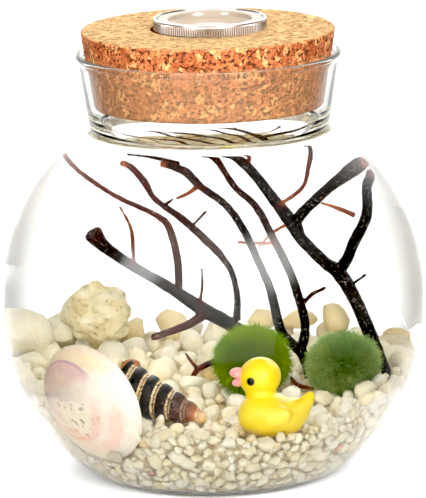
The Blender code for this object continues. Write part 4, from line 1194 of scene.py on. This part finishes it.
class Stones:
    """Stones placed one at a time, so that they touch their neighbours but hardly overlap them."""

    def __init__(self, keep_out, seed):
        self.rng = np.random.default_rng(seed)
        self.keep_out = keep_out
        self.grid = {}
        self.placed = []
        self.shapes, self.faces = self.stone_shapes()

    def stone_shapes(self):
        """Unit stones: a round mesh cut back softly by random planes."""
        body = bmesh.new()
        bmesh.ops.create_icosphere(body, subdivisions=2, radius=1.0)
        points = np.array([vertex.co[:] for vertex in body.verts])
        faces = np.array([[vertex.index for vertex in face.verts] for face in body.faces])
        body.free()
        shapes = []
        for _ in range(STONE_KINDS):
            shape = points * self.rng.uniform(*STONE_UNEVENNESS, size=(len(points), 1))
            for _ in range(STONE_CUTS):
                way = self.rng.normal(size=3)
                way /= np.linalg.norm(way)
                over = np.maximum(0, shape @ way - self.rng.uniform(*STONE_CUT_AT))
                shape -= 0.9 * over[:, None] * way
            shapes.append(shape)
        return np.array(shapes), faces

    def cell(self, place):
        return tuple(int(math.floor(value / STONE_CELL)) for value in place)

    def fits(self, place, radius, closeness):
        x, y, z = self.cell(place)
        for i in (x - 1, x, x + 1):
            for j in (y - 1, y, y + 1):
                for k in (z - 1, z, z + 1):
                    for other, size in self.grid.get((i, j, k), ()):
                        gap = closeness * (radius + size)
                        if sum((a - b) ** 2 for a, b in zip(place, other)) < gap * gap:
                            return False
        return True

    def add(self, place, radius, tint=None):
        self.grid.setdefault(self.cell(place), []).append((tuple(place), radius))
        self.placed.append((*place, radius, ORDINARY_TINTS * self.rng.random() if tint is None else tint))

    def fill(self, places, radii, closeness):
        """Add the candidates that find room, clear of everything that stands in the gravel."""
        clear = np.ones(len(places), dtype=bool)
        for centre, reach in self.keep_out:
            clear &= np.sum((places - centre) ** 2, axis=1) > (reach + 0.85 * radii) ** 2
        for place, radius in zip(places[clear], radii[clear]):
            if self.fits(place, radius, closeness):
                self.add(place, radius)

    def piece(self, name, look):
        """Turn the placed stones into one mesh, and forget them but for their room."""
        placed = np.array(self.placed)
        self.placed = []
        count = len(placed)
        kinds = self.rng.integers(0, STONE_KINDS, count)
        spin = unit_rows(self.rng.normal(size=(count, 4)))
        w, x, y, z = spin.T
        turn = np.stack([np.stack([1 - 2 * (y * y + z * z), 2 * (x * y - z * w), 2 * (x * z + y * w)], 1),
            np.stack([2 * (x * y + z * w), 1 - 2 * (x * x + z * z), 2 * (y * z - x * w)], 1),
            np.stack([2 * (x * z - y * w), 2 * (y * z + x * w), 1 - 2 * (x * x + y * y)], 1)], 1)
        stretch = self.rng.uniform(*STONE_STRETCH, size=(count, 3)) * placed[:, 3:4]
        vertices = self.shapes[kinds] * stretch[:, None, :]
        vertices = np.einsum("nij,nvj->nvi", turn, vertices) + placed[:, None, :3]
        vertices = inside_glass(vertices.reshape(-1, 3))
        first = (np.arange(count) * self.shapes.shape[1])[:, None, None]
        faces = (self.faces[None] + first).reshape(-1, 3)
        tints = np.repeat(placed[:, 4], self.shapes.shape[1])
        mesh_piece(name, vertices, faces, look, ["gravel_bed"], "gravel", {"tint": tints})


def inside_glass(vertices):
    """Press points that would be in the glass back to just inside it."""
    centre = np.array([0, 0, GLOBE_CENTRE])
    offset = vertices - centre
    reach = np.linalg.norm(offset, axis=1)
    limit = INNER_RADIUS - STONE_CLEARANCE
    scale = np.minimum(1.0, limit / reach)
    pressed = centre + offset * scale[:, None]
    pressed[:, 2] = np.maximum(pressed[:, 2], BASE_THICKNESS + 0.1)
    return pressed


def obstacles():
    """Balls that fill everything that stands in the gravel: pairs of a centre and a radius."""
    balls = []
    for centre, axes in MOSS_BALLS.values():
        balls.append((np.array(centre), min(axes) * 0.93))
    for x, low, high, half in smooth_path(DUCK_BODY, 1.2):
        reach = min(half, (high - low) / 2) * 0.95
        for shift in (-1, 0, 1):
            balls.append((np.array((x, DUCK_Y + shift * (half - reach) * 0.9, low + reach)), reach))
    for share in np.linspace(0.02, 0.98, 24):
        place = np.array(TURRET_BUTT + (TURRET_TIP - TURRET_BUTT) * share)
        balls.append((place, TURRET_RADIUS * (TURRET_TAPER_END - share) ** TURRET_TAPER * 0.95))
    centre, along, upward, normal, half, high, low = clam_frame()
    for share in np.linspace(0.0, 1.0, 16):
        for angle in np.linspace(0, 2 * math.pi, 1 + int(48 * share), endpoint=False):
            u, v = math.cos(angle), math.sin(angle)
            place = centre + along * (half * share * u) + upward * (share * v * (high if v > 0 else low))
            place += normal * CLAM_DOME * (1 - share ** CLAM_DOME_POWER)
            balls.append((np.array(place), 0.9))
            if place.z > CLAM_SHOWS_ABOVE:
                balls += [(np.array(place + normal * ahead), 1.0) for ahead in (2.0, 3.6, 5.2)]
    for name, points in LIMBS.items():
        for x, y, z, diameter in smooth_path(points, 1.0):
            if z < BED_MIDDLE + 12:
                balls.append((np.array((x, y, z)), diameter / 2 * 0.9))
            if name.startswith("loose"):
                balls.append((np.array((x, y - 2.2, z + 1.2)), 1.4))
    balls.append((np.array(CORAL_CENTRE), min(CORAL_AXES)))
    return balls


def gravel():
    """Gravel bed: separate stones in two layers on top and two against the glass, round a rough core."""
    look = gravel_look()
    stones = Stones(obstacles(), 5)
    rng = stones.rng
    inner = INNER_RADIUS - STONE_CLEARANCE
    globe = np.array([0, 0, GLOBE_CENTRE])
    for centre, radius in BACK_STONES:
        stones.add(centre, radius, BACK_TINT if centre[1] > CORAL_CENTRE[1] + 4 else SIDE_TINT)
    for centre, radius, tint in ODD_STONES:
        stones.add(centre, radius, tint)
    tops = pebble_tops()
    radii = rng.uniform(*PEBBLE_RADII, len(tops))
    places = np.column_stack([tops, bed_height(tops[:, 0], tops[:, 1]) + PEBBLE_RISE - 0.8 * radii])
    fit = np.linalg.norm(places - globe, axis=1) < inner - radii
    stones.fill(places[fit], radii[fit], PEBBLE_CLOSENESS)
    stones.piece("gravel_big_stones", look)

    def sizes(places):
        """Radii, a little finer in the middle of the bed."""
        away = np.clip(np.hypot(places[:, 0], places[:, 1]) / 50, 0, 1)
        return (STONE_RADIUS + 0.2 * away) * rng.lognormal(0, STONE_SPREAD, len(places))

    for name, depth, count in BED_LAYERS:
        places = np.zeros((count, 3))
        places[:, :2] = rng.uniform(-INNER_RADIUS, INNER_RADIUS, (count, 2))
        radii = sizes(places)
        surface = pebbly_height(places, tops)
        places[:, 2] = surface - (depth * radii if depth < 1 else depth + rng.uniform(0, 1.2, count))
        fit = np.linalg.norm(places - globe, axis=1) < inner - radii * 0.95
        stones.fill(places[fit], radii[fit], BED_CLOSENESS)
        stones.piece(name, look)
    for name, depth, count in WALL_LAYERS:
        angle = rng.uniform(0, 2 * math.pi, count)
        height = rng.uniform(BASE_THICKNESS + 0.8, BED_MIDDLE + 12, count)
        radii = STONE_RADIUS * rng.lognormal(WALL_GROWTH, STONE_SPREAD, count)
        reach = inner - radii * 0.92 - depth
        out = np.sqrt(np.maximum(0, reach ** 2 - (height - GLOBE_CENTRE) ** 2))
        places = np.stack([out * np.cos(angle), out * np.sin(angle), height], axis=1)
        surface = bed_height(places[:, 0], places[:, 1])
        fit = (height < surface - radii * 0.5) & (height > BASE_THICKNESS + 0.2 + radii * 0.9)
        stones.fill(places[fit], radii[fit], WALL_CLOSENESS)
        stones.piece(name, look)
    gravel_core()


def clear_of_clam(vertices):
    """Push points in front of the clam's valve back behind it."""
    centre, along, upward, normal, half, high, low = (np.array(item) for item in clam_frame())
    offset = vertices - centre
    rise = offset @ upward
    share = (offset @ along / half) ** 2 + (rise / np.where(rise > 0, high, low)) ** 2
    ahead = offset @ normal
    back = np.where((share < 1.1) & (ahead > -2.0), -3.0 - ahead, 0.0)
    return vertices + back[:, None] * normal


def gravel_core():
    """Body of the bed a little below the stones, which shows only in the gaps between them, coloured darker
    as painted shade.
    """
    look = Look("gravel_gap_painted_shade", 0.9)
    # Painted shade: the core is darker and more tan than the stones, standing in for the shadow in the gaps
    # between them.
    look.set("Base Color",
             look.ramp(look.noise(1.6, 4.0), [(0.35, (226, 202, 154)), (0.65, (250, 236, 200))]))
    look.bump(look.noise(0.7, 3.0), 0.3, 0.8)
    vertices = [(0.0, 0.0, bed_height(0, 0) - CORE_TOP_DEPTH)]
    reach_limit = INNER_RADIUS - CORE_SIDE_DEPTH
    for ring in range(1, CORE_RINGS + 1):
        for side in range(CORE_SEGMENTS):
            angle = 2 * math.pi * side / CORE_SEGMENTS
            near, far = 0.0, reach_limit
            for _ in range(30):
                reach = (near + far) / 2
                height = bed_height(reach * math.cos(angle), reach * math.sin(angle)) - CORE_TOP_DEPTH
                inside = reach ** 2 + (height - GLOBE_CENTRE) ** 2 < reach_limit ** 2
                near, far = (reach, far) if inside else (near, reach)
            out = near * ring / CORE_RINGS
            x, y = out * math.cos(angle), out * math.sin(angle)
            vertices.append((x, y, bed_height(x, y) - CORE_TOP_DEPTH))
    edge = 1 + (CORE_RINGS - 1) * CORE_SEGMENTS
    for level in range(1, CORE_LEVELS + 1):
        for side in range(CORE_SEGMENTS):
            start = angle_at(reach_limit, vertices[edge + side][2])
            end = angle_at(reach_limit, BASE_THICKNESS + 0.8)
            rise = math.radians(start + (end - start) * level / CORE_LEVELS)
            turn = 2 * math.pi * side / CORE_SEGMENTS
            out = reach_limit * math.cos(rise)
            vertices.append((out * math.cos(turn), out * math.sin(turn),
                GLOBE_CENTRE + reach_limit * math.sin(rise)))
    vertices = np.array(vertices)
    lumps = [wobble(vertices, CORE_LUMP_WIDTH, seed) for seed in (1.0, 5.0, 9.0)]
    vertices += CORE_LUMP_HEIGHT * np.stack(lumps, axis=1)
    faces = [(0, 1 + side, 1 + (side + 1) % CORE_SEGMENTS) for side in range(CORE_SEGMENTS)]
    faces += grid_faces(CORE_RINGS + CORE_LEVELS, CORE_SEGMENTS, 1)
    last = 1 + (CORE_RINGS + CORE_LEVELS - 1) * CORE_SEGMENTS
    faces.append(tuple(range(last, last + CORE_SEGMENTS)))
    face_out(mesh_piece("gravel_core", inside_glass(clear_of_clam(vertices)), faces, look, ["gravel_bed"],
        "gravel"))


def camera():
    """Camera at the photo's viewing angle, aimed a little above the globe."""
    rise = math.radians(CAMERA_ELEVATION)
    roll = math.radians(CAMERA_ROLL)
    globe = Vector((0, 0, GLOBE_CENTRE))
    place = globe + CAMERA_DISTANCE * Vector((0, -math.cos(rise), math.sin(rise)))
    forward = (globe - place).normalized()
    across = Vector((1, 0, 0))
    upward = across.cross(forward)
    level = Matrix((across, upward, -forward)).transposed()
    turn = Matrix.Rotation(-roll, 3, "Z")
    aim = Matrix.Rotation(math.atan(GLOBE_BELOW_CENTRE / FOCAL_PIXELS), 3, "X")
    data = bpy.data.cameras.new("photo_camera")
    data.lens = FOCAL_PIXELS / IMAGE_HEIGHT * data.sensor_width
    data.clip_end = 20.0
    made = bpy.data.objects.new("photo_camera", data)
    made.matrix_world = Matrix.Translation(place * MM) @ (level @ turn @ aim).to_4x4()
    bpy.context.scene.collection.objects.link(made)
    bpy.context.scene.camera = made


def area_light(name, place, target, size, power):
    """Soft square light that shiny surfaces don't mirror, sizes and places in metres."""
    data = bpy.data.lights.new(name, "AREA")
    data.size = size
    data.energy = power
    made = bpy.data.objects.new(name, data)
    made.visible_glossy = False
    made.location = place
    made.rotation_euler = (Vector(target) - Vector(place)).to_track_quat("-Z", "Y").to_euler()
    bpy.context.scene.collection.objects.link(made)


def studio():
    """Round white floor, pale dome that is darker to the sides, and two soft lights."""
    floor_look = Look("pale_floor", 0.9, (FLOOR_SHADE, FLOOR_SHADE, FLOOR_SHADE, 1))
    angles = [2 * math.pi * side / FLOOR_SIDES for side in range(FLOOR_SIDES)]
    points = [(FLOOR_REACH * math.cos(angle), FLOOR_REACH * math.sin(angle), 0) for angle in angles]
    mesh = bpy.data.meshes.new("floor")
    mesh.from_pydata(points, [], [tuple(range(FLOOR_SIDES))])
    mesh.materials.append(floor_look.material)
    floor = bpy.data.objects.new("floor", mesh)
    floor.location.z = -FLOOR_DROP
    bpy.context.scene.collection.objects.link(floor)
    dome()
    for name, light in LIGHTS.items():
        area_light(name, *light)
    scene = bpy.context.scene
    scene.view_settings.view_transform = "Standard"
    scene.view_settings.exposure = EXPOSURE
    scene.view_settings.use_curve_mapping = True
    scene.view_settings.curve_mapping.black_level = (BLACK_LEVEL,) * 3
    scene.view_settings.curve_mapping.update()
    scene.cycles.max_bounces = 20
    scene.cycles.transmission_bounces = 20
    scene.cycles.diffuse_bounces = 4
    scene.cycles.glossy_bounces = 8
    scene.cycles.sample_clamp_indirect = 6.0


def dome():
    """World light: brightest midway up, dimmer to both sides and in front, with two soft glows."""
    world = bpy.data.worlds.new("studio")
    bpy.context.scene.world = world
    world.use_nodes = True
    sky = Nodes(world.node_tree)
    way = sky.node("TexCoord", "Generated")
    x, y, z = sky.parts(way)
    light = sky.ramp(sky.math("MULTIPLY_ADD", z, 0.5, 0.5), DOME)
    light = sky.times(light, sky.fade(sky.math("ABSOLUTE", x), *SIDE_FADE, 1.0, SIDE_LIGHT))
    light = sky.times(light, sky.fade(y, *FRONT_FADE, FRONT_SHARE, 1.0))
    for direction, inner, outer, glow in GLOWS:
        toward = sky.node("VectorMath", "Value", {0: way, 1: Vector(direction).normalized()},
            operation="DOT_PRODUCT")
        spot = sky.fade(toward, math.cos(math.radians(outer)), math.cos(math.radians(inner)))
        light = sky.plus(light, sky.times(spot, glow / DOME_STRENGTH))
    background = sky.tree.nodes["Background"]
    sky.feed(background, "Color", light)
    sky.feed(background, "Strength", DOME_STRENGTH)


camera()
studio()
glass_jar()
water_body()
cork_stopper()
lamp()
gravel()
sea_fans()
for seed, (name, (centre, axes)) in enumerate(MOSS_BALLS.items()):
    tip, patch = MOSS_GREENS[name]
    moss_threads = moss_look(name + "_threads", tip, patch)
    moss_core = moss_look(name + "_core", MOSS_CORE_GREEN, patch)
    moss_ball(name, centre, axes, moss_threads, moss_core, 31 + seed)
toy_duck()
clam_shell()
turret_shell()
coral_lump()
